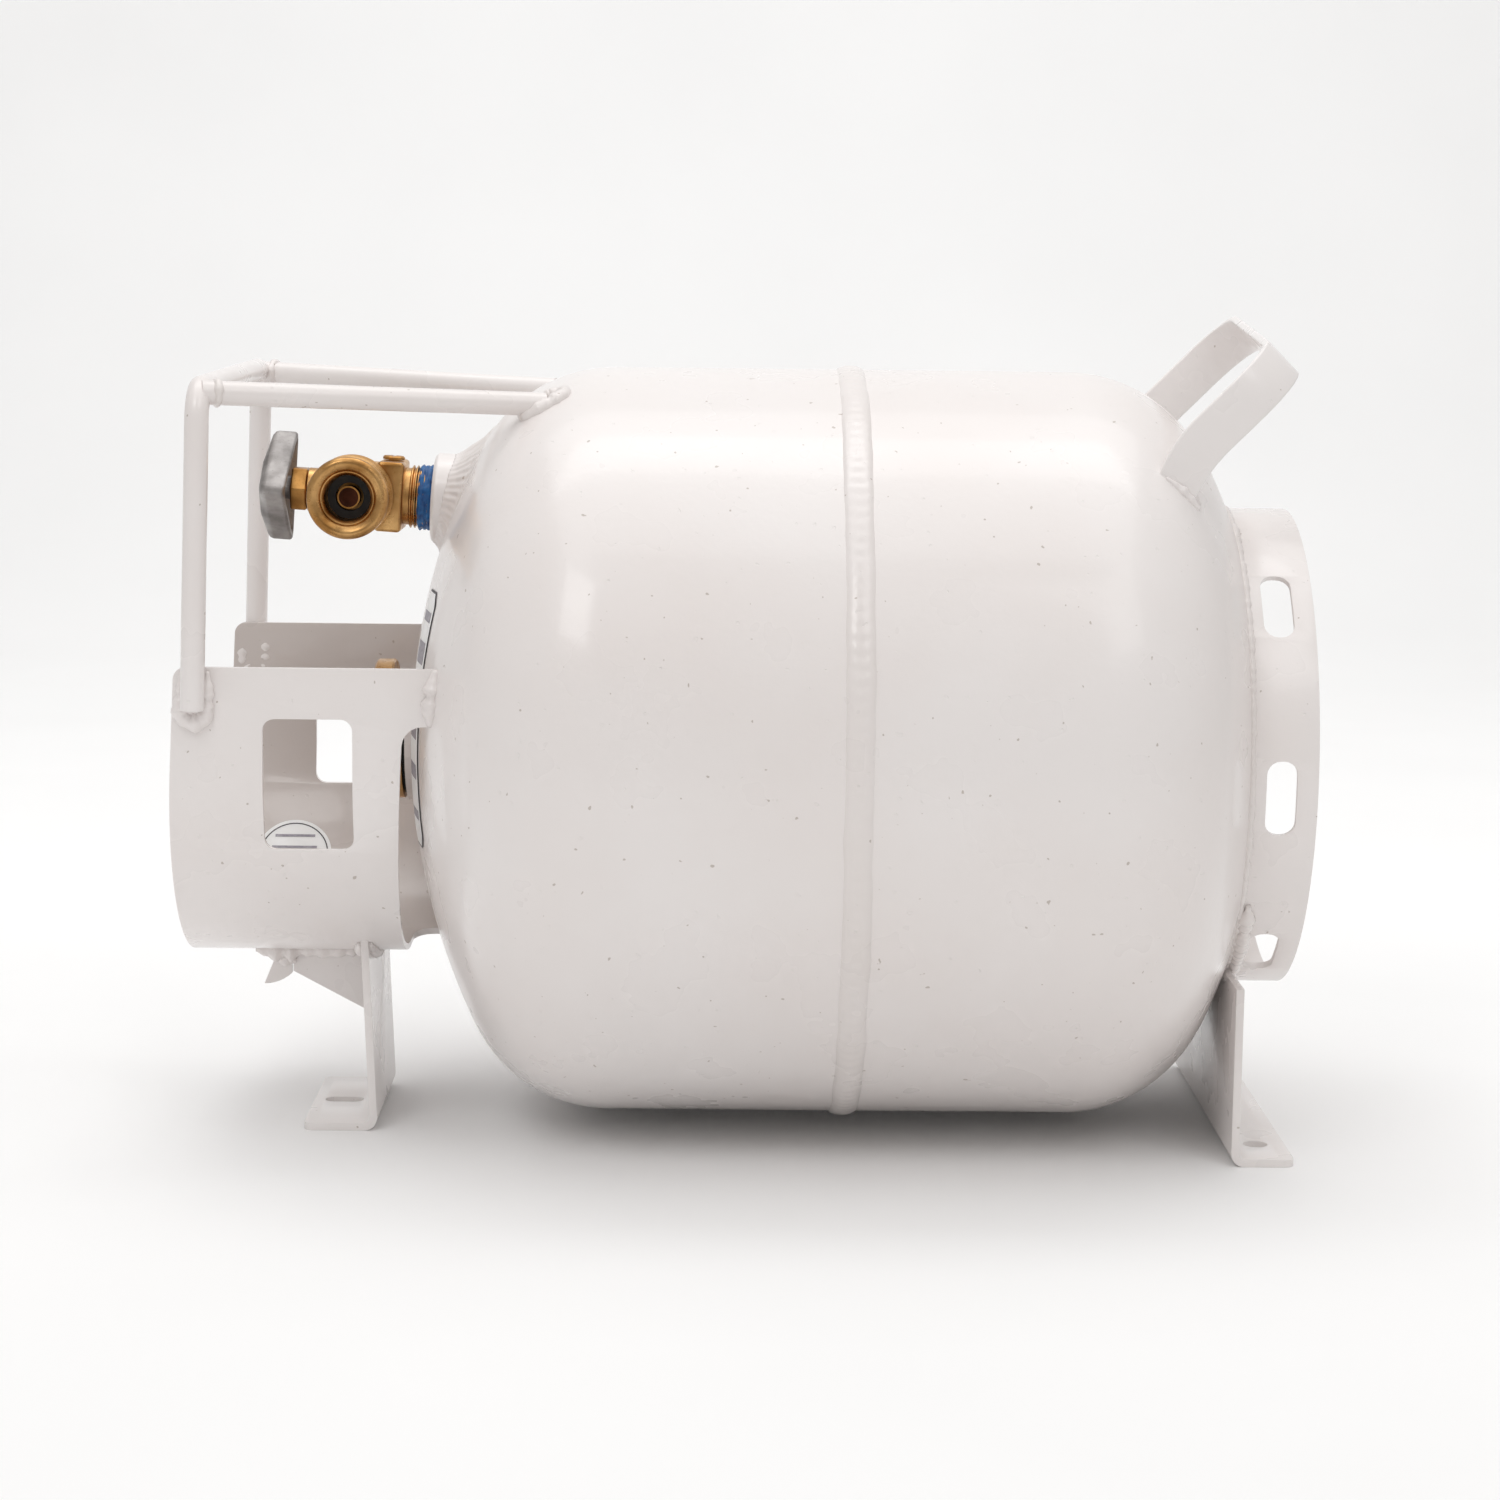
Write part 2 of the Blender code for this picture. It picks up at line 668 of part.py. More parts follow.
def valve_bores(frame, body):
    bores = (
        rod("inlet_bore", INLET, -0.03, SEAT_AT + 0.001, parent=frame),
        rod("stem_bore", 0.0062, SEAT_AT, 0.060, parent=frame),
        rod("outlet_bore", OUTLET_BORE, 0.0170, 0.06, steps=24, **at_outlet(frame)),
        rod("outlet_throat", 0.0040, 0.0, 0.02, **at_outlet(frame)),
        rod("relief_bore", 0.0070, -0.04, -0.0100, **at_outlet(frame)),
        rod("bleed_hole", 0.0026, 0.0070, 0.03, **at_bleeder(frame)),
    )
    for bore in bores:
        cut(body, bore, solver="MANIFOLD")


def outlet_trim(frame):
    """The seal and the spring-loaded plunger in the outlet, and the sealant on the tank's thread."""
    sleeve("thread_sealant", SHANK + 2.5 * GAP, SHANK + GAP, 0.0004, 0.0055, SEALANT, 24, parent=frame)
    sleeve("outlet_seal", OUTLET_BORE - GAP, 0.0058, 0.0245, 0.0270, RUBBER, 24, **at_outlet(frame))
    sleeve("outlet_spring", 0.0036, 0.0026, 0.0175, 0.0203, STEEL, COARSE, **at_outlet(frame))
    tip = [(0.0, 0.0310), (0.0042, 0.0310), (0.0046, 0.0300), (0.0046, 0.0240)]
    tail = [(0.0022, 0.0238), (0.0022, 0.0212), (0.0, 0.0212)]
    turned("outlet_plunger", tip + tail, BRASS, COARSE, **at_outlet(frame))


def relief_trim(frame):
    """The pressure relief: a poppet and its spring, held by a cap."""
    sleeve("relief_spring", 0.0052, 0.0040, -0.0205, -0.0168, STEEL, COARSE, **at_outlet(frame))
    head = [(0.0, -0.0105), (0.0060, -0.0105), (0.0060, -0.0140)]
    tail = [(0.0032, -0.0143), (0.0032, -0.0190), (0.0, -0.0190)]
    turned("relief_poppet", head + tail, BRASS, COARSE, **at_outlet(frame))
    sleeve("relief_cap", 0.0067, 0.0036, -0.0248, -0.0210, BRASS, COARSE, **at_outlet(frame))


def bleeder(frame):
    """The slotted screw that opens the fixed level tube, in the top of the wrench block."""
    head = [(0.0, 0.0164), (0.0040, 0.0164), (0.0046, 0.0158), (0.0046, 0.0149)]
    thread = [(0.0023, 0.0148), (0.0023, 0.0075), (0.0, 0.0075)]
    screw = turned("bleeder_screw", head + thread, BRASS, COARSE, **at_bleeder(frame))
    slot_at = (0.0168, 0.0, BLOCK_MIDDLE)
    cut(screw, block("bleeder_slot", (0.0012, 0.0200, 0.0014), parent=frame, location=slot_at))


def hexagon(name, across, low, high, slot, bore, frame, bevel=0.0006):
    def build(shape):
        radius = across / 2 / cos(pi / 6)
        bmesh.ops.create_cone(
            shape,
            cap_ends=True,
            segments=6,
            radius1=radius,
            radius2=radius,
            depth=high - low,
            matrix=Matrix.Translation((0.0, 0.0, (low + high) / 2)),
        )

    nut = place(mesh_object(name, build), slot, parent=frame)
    add_bevel(nut, bevel, 1)
    cut(nut, rod(name + "_bore", bore, low - 0.01, high + 0.01, parent=frame))
    return nut


def handwheel_outline():
    """A triangle with round corners and slightly bowed sides, one corner towards the outlet."""
    corner_at = 0.0208
    corner = 0.0050
    points = []
    for i in range(3):
        middle = -pi / 2 + i * 2 * pi / 3
        centre = (corner_at * cos(middle), corner_at * sin(middle))
        points += arc(centre, corner, middle - pi / 3, middle + pi / 3, 6)
    return points


def stem_group(frame):
    """The packing nut, the stem, the handwheel and its screw, and the seat disc that the stem drives."""
    hexagon("packing_nut", 0.0172, NECK_TOP + GAP, 0.0590, BRASS, STEM + GAP, frame)
    shaft = [(0.0, 0.0700), (0.0030, 0.0700), (STEM, 0.0640), (STEM, 0.0400)]
    collar = [(0.0056, 0.0398), (0.0056, 0.0370), (0.0, 0.0370)]
    turned("valve_stem", shaft + collar, BRASS, COARSE, parent=frame)
    spindle = [(0.0, 0.0315), (0.0035, 0.0315), (0.0035, SEAT_AT + 0.0050), (0.0058, SEAT_AT + 0.0050)]
    seal = [(0.0058, SEAT_AT + 0.0008), (0.0054, SEAT_AT + GAP), (0.0, SEAT_AT + GAP)]
    turned("seat_disc", spindle + seal, RUBBER, COARSE, parent=frame)
    middle = (0.0, 0.0, WHEEL_AT + WHEEL_THICK / 2)
    wheel = outline("handwheel", handwheel_outline(), WHEEL_THICK, ZINC, parent=frame, location=middle)
    add_bevel(wheel, 0.0012, 2)
    cut(wheel, rod("wheel_hub_bore", STEM + GAP, WHEEL_AT - 0.01, 0.0706, parent=frame))
    cut(wheel, rod("wheel_screw_seat", 0.0048, 0.0703, 0.09, parent=frame))
    rod("handwheel_screw", 0.0040, 0.0706, 0.0722, STEEL, parent=frame)


# The overfill device inside the tank


def overfill_device(frame):
    """The body that hangs on the valve's inlet, with its shut-off piston, pin, arm and float."""
    low = -0.062
    body = sleeve("overfill_body", 0.0092, 0.0064, low, -0.0223, BRASS, 24, parent=frame)
    rod("shutoff_piston", 0.0060, -0.048, -0.036, BRASS, parent=frame)
    pivot = empty("overfill_pivot", (0.0, 0.0, low - 0.006), parent=frame)
    across = {"parent": pivot, "rotation": TO_FRONT}
    rod("overfill_pin", 0.0015, -0.0090, 0.0090, STEEL, **across)
    for side in (-1, 1):
        where = (0.0, side * 0.0075, 0.0035)
        ear = block(f"overfill_ear_{side}", (0.0080, 0.0016, 0.0140), parent=pivot, location=where)
        cut(body, ear, "UNION")
    hole = rod("overfill_pin_hole", 0.0018, -0.02, 0.02, **across)
    cut(body, hole)
    arm_frame = empty("overfill_arm_frame", (0.0, 0.0, 0.0), (0.0, OVERFILL_HANG, 0.0), parent=pivot)
    arm_size = (0.0070, 0.0090, 0.0300)
    arm = block("overfill_float_arm", arm_size, PLASTIC, parent=arm_frame, location=(0.0, 0.0, -0.0100))
    cut(arm, hole)
    float_size = (0.0240, 0.0360, 0.0300)
    block("overfill_float", float_size, PLASTIC, 0.003, parent=arm_frame, location=(-0.0080, 0.0, -0.0405))


def dip_tube(frame):
    """The fixed tube whose open end marks the 80 % level."""
    side = 0.0111
    points = [(-0.002, side, -0.0223), (-0.002, side, -0.0600), (-0.020, side + 0.004, -0.0760)]
    bar("dip_tube", bend_path(points, 0.012, 4), 0.0013, BRASS, parent=frame, sides=1)


# The level gauge


def gauge_head(frame, shell):
    """The welded flange, its gasket, the gauge's body, dial, needle and lens, and four screws."""
    flange = GAUGE_BASE + 0.0010
    bore = 0.0100
    sleeve("gauge_flange", flange, bore, -0.0080, 0.0015, WHITE, FINE, parent=frame)
    cut(shell, rod("gauge_hole", flange + GAP, -0.03, 0.03, steps=FINE, parent=frame))
    sleeve("gauge_gasket", GAUGE_BASE - 0.002, bore, 0.0018, 0.0028, RUBBER, 24, parent=frame)
    body = turned("gauge_body", gauge_section(), BRASS, FINE, ring=True, parent=frame)
    inside = GAUGE_WINDOW - GAP
    rod("gauge_dial", inside, 0.0088, 0.0098, DIAL, 24, parent=frame)
    lens = [(0.0, 0.0148), (inside, 0.0143), (inside, 0.0128), (0.0, 0.0128)]
    turned("gauge_lens", lens, LENS, 24, parent=frame)
    needle = [(-0.0040, -0.0010), (0.0, -0.0016), (0.0150, 0.0), (0.0, 0.0016), (-0.0040, 0.0010)]
    where = {"parent": frame, "location": (0.0, 0.0, 0.0108), "rotation": (0.0, 0.0, NEEDLE_EMPTY)}
    outline("gauge_needle", needle, 0.0006, RUBBER, **where)
    for i in range(4):
        angle = pi / 4 + i * pi / 2
        where = {"parent": frame, "location": (0.0262 * cos(angle), 0.0262 * sin(angle), 0.0)}
        cut(body, rod(f"gauge_screw_seat_{i + 1}", 0.0032, 0.0120, 0.03, steps=12, **where))
        rod(f"gauge_screw_{i + 1}", 0.0028, 0.0123, 0.0148, STEEL, 12, **where)


def gauge_section():
    """The body's section as (radius, height): a wide head on a narrower base, recessed for the dial."""
    return [
        (GAUGE_WINDOW, GAUGE_FACE),
        (GAUGE_RADIUS - 0.0010, GAUGE_FACE),
        (GAUGE_RADIUS, GAUGE_FACE - 0.0010),
        (GAUGE_RADIUS, 0.0073),
        (GAUGE_BASE, 0.0070),
        (GAUGE_BASE, 0.0031),
        (0.0042, 0.0031),
        (0.0042, 0.0085),
        (GAUGE_WINDOW, 0.0085),
    ]


def gauge_works(frame):
    """The stem, its turning shaft and the float arm that drives it."""
    end = -GAUGE_STEM_LENGTH
    stem = sleeve("gauge_stem", 0.0060, 0.0034, end, 0.0025, BRASS, COARSE, parent=frame)
    rod("gauge_shaft", 0.0030, end + 0.002, 0.0020, STEEL, 12, parent=frame)
    pivot = empty("gauge_pivot", (0.0, 0.0, end - 0.006), parent=frame)
    arm_frame = empty("gauge_arm_frame", (0.0, 0.0, 0.0), (0.0, GAUGE_HANG, 0.0), parent=pivot)
    for side in (-1, 1):
        where = (0.0, side * 0.0047, 0.0030)
        ear = block(f"gauge_ear_{side}", (0.0070, 0.0014, 0.0130), parent=pivot, location=where)
        cut(stem, ear, "UNION")
    across = {"parent": pivot, "rotation": TO_FRONT}
    hole = rod("gauge_pin_hole", 0.0014, -0.01, 0.01, steps=12, **across)
    cut(stem, hole)
    rod("gauge_pin", 0.0011, -0.0065, 0.0065, STEEL, 12, **across)
    size = (0.0040, 0.0060, GAUGE_ARM)
    arm = block("gauge_float_arm", size, STEEL, parent=arm_frame, location=(0.0, 0.0, 0.004 - GAUGE_ARM / 2))
    cut(arm, hole)
    half = [(0.0, 0.018), (0.0110, 0.018), (0.0140, 0.015)]
    profile = half + [(radius, -height) for radius, height in reversed(half)]
    middle = (0.0, 0.0, -GAUGE_ARM - 0.0106)
    turned("gauge_float", profile, PLASTIC, COARSE, parent=arm_frame, location=middle, rotation=TO_FRONT)


tank = tank_cutter()
valve_half = half_shell("valve_end_shell", VALVE_APEX_X, 1)
half_shell("ring_end_shell", FOOT_APEX_X, -1)
girth_weld()
guard_collar(tank)
hoop = guard_hoop()
guard_rail("front_rail", -1, tank, hoop)
guard_rail("back_rail", 1, tank, hoop)
foot_ring(tank)
collar_body = valve_foot()
valve_foot_gusset(collar_body)
collar_tab(collar_body)
ring_foot(tank)
strap_handle(tank)

valve_axis = empty("valve_axis", (VALVE_X, 0.0, VALVE_Z), (0.0, VALVE_TILT - pi / 2, 0.0))
weld_boss(valve_axis, valve_half)
valve_body(valve_axis)
outlet_trim(valve_axis)
relief_trim(valve_axis)
bleeder(valve_axis)
stem_group(valve_axis)
overfill_device(valve_axis)
dip_tube(valve_axis)

gauge_axis = empty("gauge_axis", (VALVE_APEX_X, 0.0, AXIS_Z), TO_LEFT)
gauge_head(gauge_axis, valve_half)
gauge_works(gauge_axis)
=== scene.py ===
"""A motorhome's propane tank as it looks: skins, welds, paint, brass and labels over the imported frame."""

import json
from math import asin, cos, hypot, pi, radians, sin, sqrt, tan

import bmesh
import bpy
from mathutils import Euler, Matrix, Vector, noise


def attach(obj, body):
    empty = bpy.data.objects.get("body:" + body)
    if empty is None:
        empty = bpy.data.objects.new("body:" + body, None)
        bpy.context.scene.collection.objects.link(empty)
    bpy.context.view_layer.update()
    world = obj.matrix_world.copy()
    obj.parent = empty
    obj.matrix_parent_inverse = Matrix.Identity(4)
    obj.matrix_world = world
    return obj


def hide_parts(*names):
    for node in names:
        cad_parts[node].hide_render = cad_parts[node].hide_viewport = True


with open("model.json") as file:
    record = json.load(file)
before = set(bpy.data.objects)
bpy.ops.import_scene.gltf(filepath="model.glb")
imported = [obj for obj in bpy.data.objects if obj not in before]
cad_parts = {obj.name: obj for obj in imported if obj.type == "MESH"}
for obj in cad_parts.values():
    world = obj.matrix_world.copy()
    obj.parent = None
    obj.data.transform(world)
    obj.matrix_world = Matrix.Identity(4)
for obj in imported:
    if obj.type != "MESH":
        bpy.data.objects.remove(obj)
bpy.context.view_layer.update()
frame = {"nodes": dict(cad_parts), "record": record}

# The frame's sizes, in metres
AXIS_Z = 0.1608
TANK_RADIUS = 0.1556
KNUCKLE = 0.062
CROWN = 0.270
VALVE_APEX_X = -0.1372
RING_APEX_X = 0.2201
SEAM_X = 0.0444
SEAM_HALF = 0.0058
SEAM_PROUD = 0.0020

COLLAR_X = -0.2276
COLLAR_RADIUS = 0.0862
COLLAR_Z = AXIS_Z - 0.0040
COLLAR_TOP = AXIS_Z + 0.0385
SHEET = 0.0026
PLATE = 0.0032
COLLAR_LEAN = 0.0036
COLLAR_CORNER = 0.0048
FRONT_WINDOW = ((-0.1893, -0.1537), (AXIS_Z - 0.0350, AXIS_Z + 0.0182))
BACK_WINDOW = ((-0.1882, -0.1537), (AXIS_Z - 0.0326, AXIS_Z + 0.0182))
RELIEF_TOP = AXIS_Z + 0.0147
RELIEF_X = -0.1341
RELIEF_LEAN = radians(2.4)
RELIEF_FAR_Y = 0.017

BAR = 0.00475
HOOP_TOP = AXIS_Z + 0.1478
HOOP_RISE = 0.0030
HOOP_X = -0.2125
HOOP_LEAN = 0.028
HOOP_HALF = COLLAR_RADIUS + BAR + 0.0003
HOOP_FOOT = AXIS_Z + 0.0220
RAIL_START = (HOOP_X + 0.0010, HOOP_HALF - 0.0045, HOOP_TOP - 0.0015)
RAIL_END = (-0.0800, 0.0460, AXIS_Z + 0.1416)

RING_X = 0.2276
RING_RADIUS = 0.0997
SLOTS = 7
SLOT_PITCH = radians(46.4)
SLOT_FIRST = radians(-41.9)
SLOT_SIZE = (0.0122, 0.020, 0.0300)
SLOT_X = 0.2132

VALVE_FOOT = ((-0.1544, COLLAR_Z - 0.070), (-0.1506, PLATE / 2), (-0.1799, PLATE / 2))
VALVE_FOOT_HALF = 0.0404
RING_FOOT = ((0.2019, AXIS_Z - 0.0874), (0.2019, PLATE / 2), (0.2262, PLATE / 2))
RING_FOOT_HALF = 0.0855
FOOT_HOLE = 0.0050

HANDLE_HALF = 0.0905
HANDLE_WIDTH = 0.0185
HANDLE_OFFSET = 0.0484
HANDLE_REACH = 0.3855
HANDLE_SLANT = 0.12
HANDLE_BEND = 0.024
HANDLE_ROOT = 0.2550
HANDLE_CURL_START = 0.3180

VALVE_AT = Vector((-0.1285, 0.0, AXIS_Z + 0.1004))
VALVE = Matrix.Translation(VALVE_AT) @ Euler((0.0, radians(3.5) - pi / 2, 0.0)).to_matrix().to_4x4()
BOSS_RADIUS = 0.0190
SHANK = 0.0131
OUTLET = VALVE @ Matrix.Translation((0.0, 0.0, 0.0322)) @ Matrix.Rotation(pi / 2, 4, "X")
OUTLET_FACE = 0.0385
BLOCK_SIZE = (0.0290, 0.0280, 0.0110)
BLOCK_MIDDLE = 0.0175
VENT_AT = (-0.0062, -BLOCK_SIZE[1] / 2, 0.0197)
VENT_RADIUS = 0.0008
WHEEL_CORNER_AT = 0.0230
WHEEL_CORNER = 0.0028
WHEEL_SIDE = 0.0146
WHEEL_FOOT = 0.0592
WHEEL_CROWN = 0.0700
WHEEL_REACH = 0.0235
GAUGE = Matrix.Translation((VALVE_APEX_X, 0.0, AXIS_Z)) @ Matrix.Rotation(-pi / 2, 4, "Y")


# Materials


def tone(red, green, blue):
    """A colour from the 0-255 values it has on a screen."""
    shares = (value / 255 for value in (red, green, blue))
    return (*(s / 12.92 if s <= 0.04045 else ((s + 0.055) / 1.055) ** 2.4 for s in shares), 1.0)


class Look:
    """A procedural material: a Principled shader fed by noise that is fixed to the piece."""

    def __init__(self, name, roughness, metallic=0.0, **constants):
        self.material = bpy.data.materials.new(name)
        self.material.use_nodes = True
        self.tree = self.material.node_tree
        self.shader = self.tree.nodes["Principled BSDF"]
        self.shader.inputs["Roughness"].default_value = roughness
        self.shader.inputs["Metallic"].default_value = metallic
        for socket, value in constants.items():
            self.shader.inputs[socket.replace("_", " ")].default_value = value
        self.place = self.tree.nodes.new("ShaderNodeTexCoord").outputs["Object"]

    def add(self, kind, **inputs):
        node = self.tree.nodes.new(kind)
        for socket, value in inputs.items():
            self.feed(node.inputs[socket.replace("_", " ")], value)
        return node

    def feed(self, socket, value):
        if isinstance(value, bpy.types.NodeSocket):
            self.tree.links.new(value, socket)
        else:
            socket.default_value = value

    def noise(self, scale, detail=3.0, stretch=(1.0, 1.0, 1.0)):
        """Noise whose features are about 1 / scale metres across."""
        spread = self.add("ShaderNodeMapping", Vector=self.place, Scale=stretch)
        texture = self.add("ShaderNodeTexNoise", Vector=spread.outputs[0], Scale=scale, Detail=detail)
        return texture.outputs["Fac"]

    def ramp(self, value, low, high, start=0.0, end=1.0):
        """Takes value from low..high to start..end."""
        node = self.add("ShaderNodeMapRange", Value=value, To_Min=start, To_Max=end)
        node.inputs["From Min"].default_value = low
        node.inputs["From Max"].default_value = high
        return node.outputs["Result"]

    def mixed(self, factor, first, second):
        """A colour between two, either of which may come from another mix."""
        node = self.tree.nodes.new("ShaderNodeMix")
        node.data_type = "RGBA"
        self.feed(node.inputs["Factor"], factor)
        self.feed(node.inputs[6], first)
        self.feed(node.inputs[7], second)
        return node.outputs[2]

    def colour(self, value):
        self.feed(self.shader.inputs["Base Color"], value)

    def rough(self, value):
        self.feed(self.shader.inputs["Roughness"], value)

    def bumps(self, *layers):
        """Layers of (height, depth in metres), each laid over the one before."""
        normal = None
        for height, depth in layers:
            node = self.add("ShaderNodeBump", Height=height, Distance=depth)
            if normal is not None:
                self.tree.links.new(normal, node.inputs["Normal"])
            normal = node.outputs["Normal"]
        self.tree.links.new(normal, self.shader.inputs["Normal"])


def powder_coat(name, paint, shade, lumps=0.00010):
    """Glossy white powder coat: orange peel, a few specks and pinholes, and faint smudges."""
    look = Look(name, 0.3, Coat_Weight=0.35, Coat_Roughness=0.10)
    smudge = look.ramp(look.noise(9.0, 4.0), 0.40, 0.75)
    speck = look.ramp(look.noise(330.0, 1.0), 0.765, 0.79, 0.0, 0.55)
    pinhole = look.ramp(look.noise(420.0, 0.0), 0.83, 0.85)
    base = look.mixed(smudge, paint, shade)
    look.colour(look.mixed(speck, base, tone(150, 132, 116)))
    look.rough(look.ramp(look.noise(28.0, 3.0), 0.3, 0.7, 0.24, 0.36))
    look.bumps((look.noise(300.0, 2.0), 0.00006), (look.noise(60.0, 2.0), lumps), (pinhole, -0.0001))
    return look.material


def cast_metal(name, pale, dark, roughness, grain, depth):
    """Bare metal with the grain of a casting or forging, in random pale and dark clouds and flecks."""
    look = Look(name, roughness, 1.0)
    cloud = look.ramp(look.noise(70.0, 5.0), 0.35, 0.68)
    fleck = look.ramp(look.noise(900.0, 2.0), 0.60, 0.74, 0.0, 0.5)
    look.colour(look.mixed(fleck, look.mixed(cloud, pale, dark), dark))
    look.rough(look.ramp(look.noise(160.0, 4.0), 0.3, 0.7, roughness - 0.08, roughness + 0.12))
    look.bumps((look.noise(grain, 3.0), depth), (look.noise(grain / 6, 2.0), depth))
    return look.material


def plain(name, pale, dark, roughness, scale=400.0, depth=0.00003, **constants):
    """A non-metal with faint mottling."""
    look = Look(name, roughness, **constants)
    look.colour(look.mixed(look.ramp(look.noise(scale, 3.0), 0.3, 0.7), pale, dark))
    look.rough(look.ramp(look.noise(scale / 4, 2.0), 0.3, 0.7, roughness - 0.05, roughness + 0.08))
    look.bumps((look.noise(scale * 2, 2.0), depth))
    return look.material


PAINT = powder_coat("tank_paint", tone(236, 231, 229), tone(232, 225, 222))
# A darker copy of the white paint: painted shade for the inner faces of the trough.
INNER_PAINTED_SHADE = powder_coat("collar_inner_painted_shade", tone(206, 197, 192), tone(198, 188, 183))
WELD = powder_coat("weld_paint", tone(234, 228, 226), tone(226, 219, 215), 0.00035)
BRASS = cast_metal("forged_brass", tone(214, 170, 112), tone(150, 106, 56), 0.30, 700.0, 0.00004)
DARK_BRASS = cast_metal("machined_brass", tone(196, 146, 84), tone(120, 80, 38), 0.34, 900.0, 0.00003)
# A dark bronze for the plunger: painted shade for the deep outlet bore it sits in.
PAINTED_SHADE_BRONZE = cast_metal("bore_painted_shade_bronze", tone(92, 52, 38), tone(44, 24, 18), 0.60, 900.0, 0.00003)
ZINC = cast_metal("cast_zinc", tone(178, 174, 172), tone(128, 124, 122), 0.50, 1100.0, 0.00009)
STEEL = cast_metal("zinc_plated_steel", tone(205, 205, 206), tone(150, 150, 152), 0.28, 1200.0, 0.00002)
SEALANT = plain("thread_sealant_blue", tone(22, 104, 168), tone(10, 62, 118), 0.40, 300.0, 0.00020)
RUBBER = plain("nitrile_rubber", tone(32, 31, 30), tone(18, 17, 17), 0.62)
PLASTIC = plain("float_plastic", tone(62, 60, 58), tone(48, 46, 45), 0.50)
PAPER = plain("label_paper", tone(250, 250, 250), tone(243, 243, 242), 0.42, 120.0, 0.00002)
INK = plain("label_ink", tone(58, 52, 62), tone(42, 38, 46), 0.45, 600.0, 0.00001)
GREY_INK = plain("label_grey", tone(172, 168, 176), tone(140, 136, 146), 0.45, 700.0, 0.00001)
DIAL = plain("dial_face", tone(240, 240, 236), tone(232, 231, 226), 0.45, 200.0, 0.00001)
GLASS = {"Transmission_Weight": 1.0, "IOR": 1.46}
LENS = plain("gauge_lens", tone(246, 250, 250), tone(238, 244, 244), 0.10, 90.0, 0.00001, **GLASS)
SLOT_LOOKS = {
    "white_powder_coat": PAINT,
    "brass": DARK_BRASS,
    "cast_zinc": ZINC,
    "plated_steel": STEEL,
    "blue_sealant": SEALANT,
    "black_rubber": RUBBER,
    "float_plastic": PLASTIC,
    "clear_lens": LENS,
    "dial_print": DIAL,
}


def finish_frame():
    """Gives every node of the frame the look of its slot, but the outlet's plunger a dark bronze that is
    painted shade for the bore it sits in.
    """
    for entry in frame["record"]["subparts"]:
        node = frame["nodes"][entry["node"]]
        node.data.materials.clear()
        # The plunger's dark bronze is painted shade for the deep outlet bore.
        look = PAINTED_SHADE_BRONZE if entry["node"] == "outlet_plunger" else SLOT_LOOKS[entry["material_slot"]]
        node.data.materials.append(look)


# Mesh tools


def piece(name, build, look, body="tank", stands_for=(), dress=None, sharp=32.0):
    """A mesh object that build fills, dressed with modifiers that are then applied, riding on a body."""
    mesh = bpy.data.meshes.new(name)
    shape = bmesh.new()
    build(shape)
    bmesh.ops.recalc_face_normals(shape, faces=shape.faces)
    shape.to_mesh(mesh)
    shape.free()
    obj = bpy.data.objects.new(name, mesh)
    bpy.context.scene.collection.objects.link(obj)
    if dress:
        dress(obj)
        apply_modifiers(obj)
    obj.data.materials.clear()
    obj.data.materials.append(look)
    obj.data.shade_smooth()
    obj.data.set_sharp_from_angle(angle=radians(sharp))
    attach(obj, body)
    if stands_for:
        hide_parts(*stands_for)
    return obj


def apply_modifiers(obj):
    graph = bpy.context.evaluated_depsgraph_get()
    cutters = {m.object for m in obj.modifiers if m.type == "BOOLEAN"}
    mesh = bpy.data.meshes.new_from_object(obj.evaluated_get(graph))
    obj.modifiers.clear()
    obj.data = mesh
    for cutter in cutters:
        bpy.data.objects.remove(cutter)


def cutter(build, matrix=None, bevel=0.0):
    """A hidden solid to cut with."""
    mesh = bpy.data.meshes.new("cutter")
    shape = bmesh.new()
    build(shape)
    bmesh.ops.recalc_face_normals(shape, faces=shape.faces)
    shape.to_mesh(mesh)
    shape.free()
    obj = bpy.data.objects.new("cutter", mesh)
    obj.matrix_world = matrix or Matrix()
    obj.hide_render = True
    bpy.context.scene.collection.objects.link(obj)
    if bevel:
        round_edges(obj, bevel, 5)
    return obj


def box_cutter(size, centre, bevel, turn=(0.0, 0.0, 0.0)):
    matrix = Matrix.Translation(centre) @ Euler(turn).to_matrix().to_4x4()

    def build(shape):
        bmesh.ops.create_cube(shape, size=1.0, matrix=Matrix.Diagonal((*size, 1.0)))

    return cutter(build, matrix, bevel)


def cut(obj, tool):
    boolean = obj.modifiers.new("cut", "BOOLEAN")
    boolean.operation = "DIFFERENCE"
    boolean.solver = "EXACT"
    boolean.object = tool


def round_edges(obj, width, segments=3):
    bevel = obj.modifiers.new("edges", "BEVEL")
    bevel.width = width
    bevel.segments = segments
    bevel.limit_method = "ANGLE"
    bevel.angle_limit = radians(40)


def thicken(obj, thickness):
    solid = obj.modifiers.new("sheet", "SOLIDIFY")
    solid.thickness = thickness
    solid.offset = 0.0
    solid.use_even_offset = True


def lathe(shape, profile, steps, matrix=None, loop=False):
    """Turns (radius, height) points about the matrix's z axis. A loop's last point joins its first."""
    matrix = matrix or Matrix()
    rings = []
    for radius, height in profile:
        count = steps if radius > 1e-6 else 1
        turns = [2 * pi * i / steps for i in range(count)]
        ring = [matrix @ Vector((radius * cos(a), radius * sin(a), height)) for a in turns]
        rings.append([shape.verts.new(point) for point in ring])
    if loop:
        rings.append(rings[0])
    for low, high in zip(rings, rings[1:]):
        join_rings(shape, low, high)


def join_rings(shape, low, high):
    """Faces between two closed rings of the same count. Either may be a single point."""
    count = max(len(low), len(high))
    for i in range(count):
        j = (i + 1) % count
        corners = [low[i % len(low)], low[j % len(low)], high[j % len(high)], high[i % len(high)]]
        corners = list(dict.fromkeys(corners))
        if len(corners) > 2:
            shape.faces.new(corners)


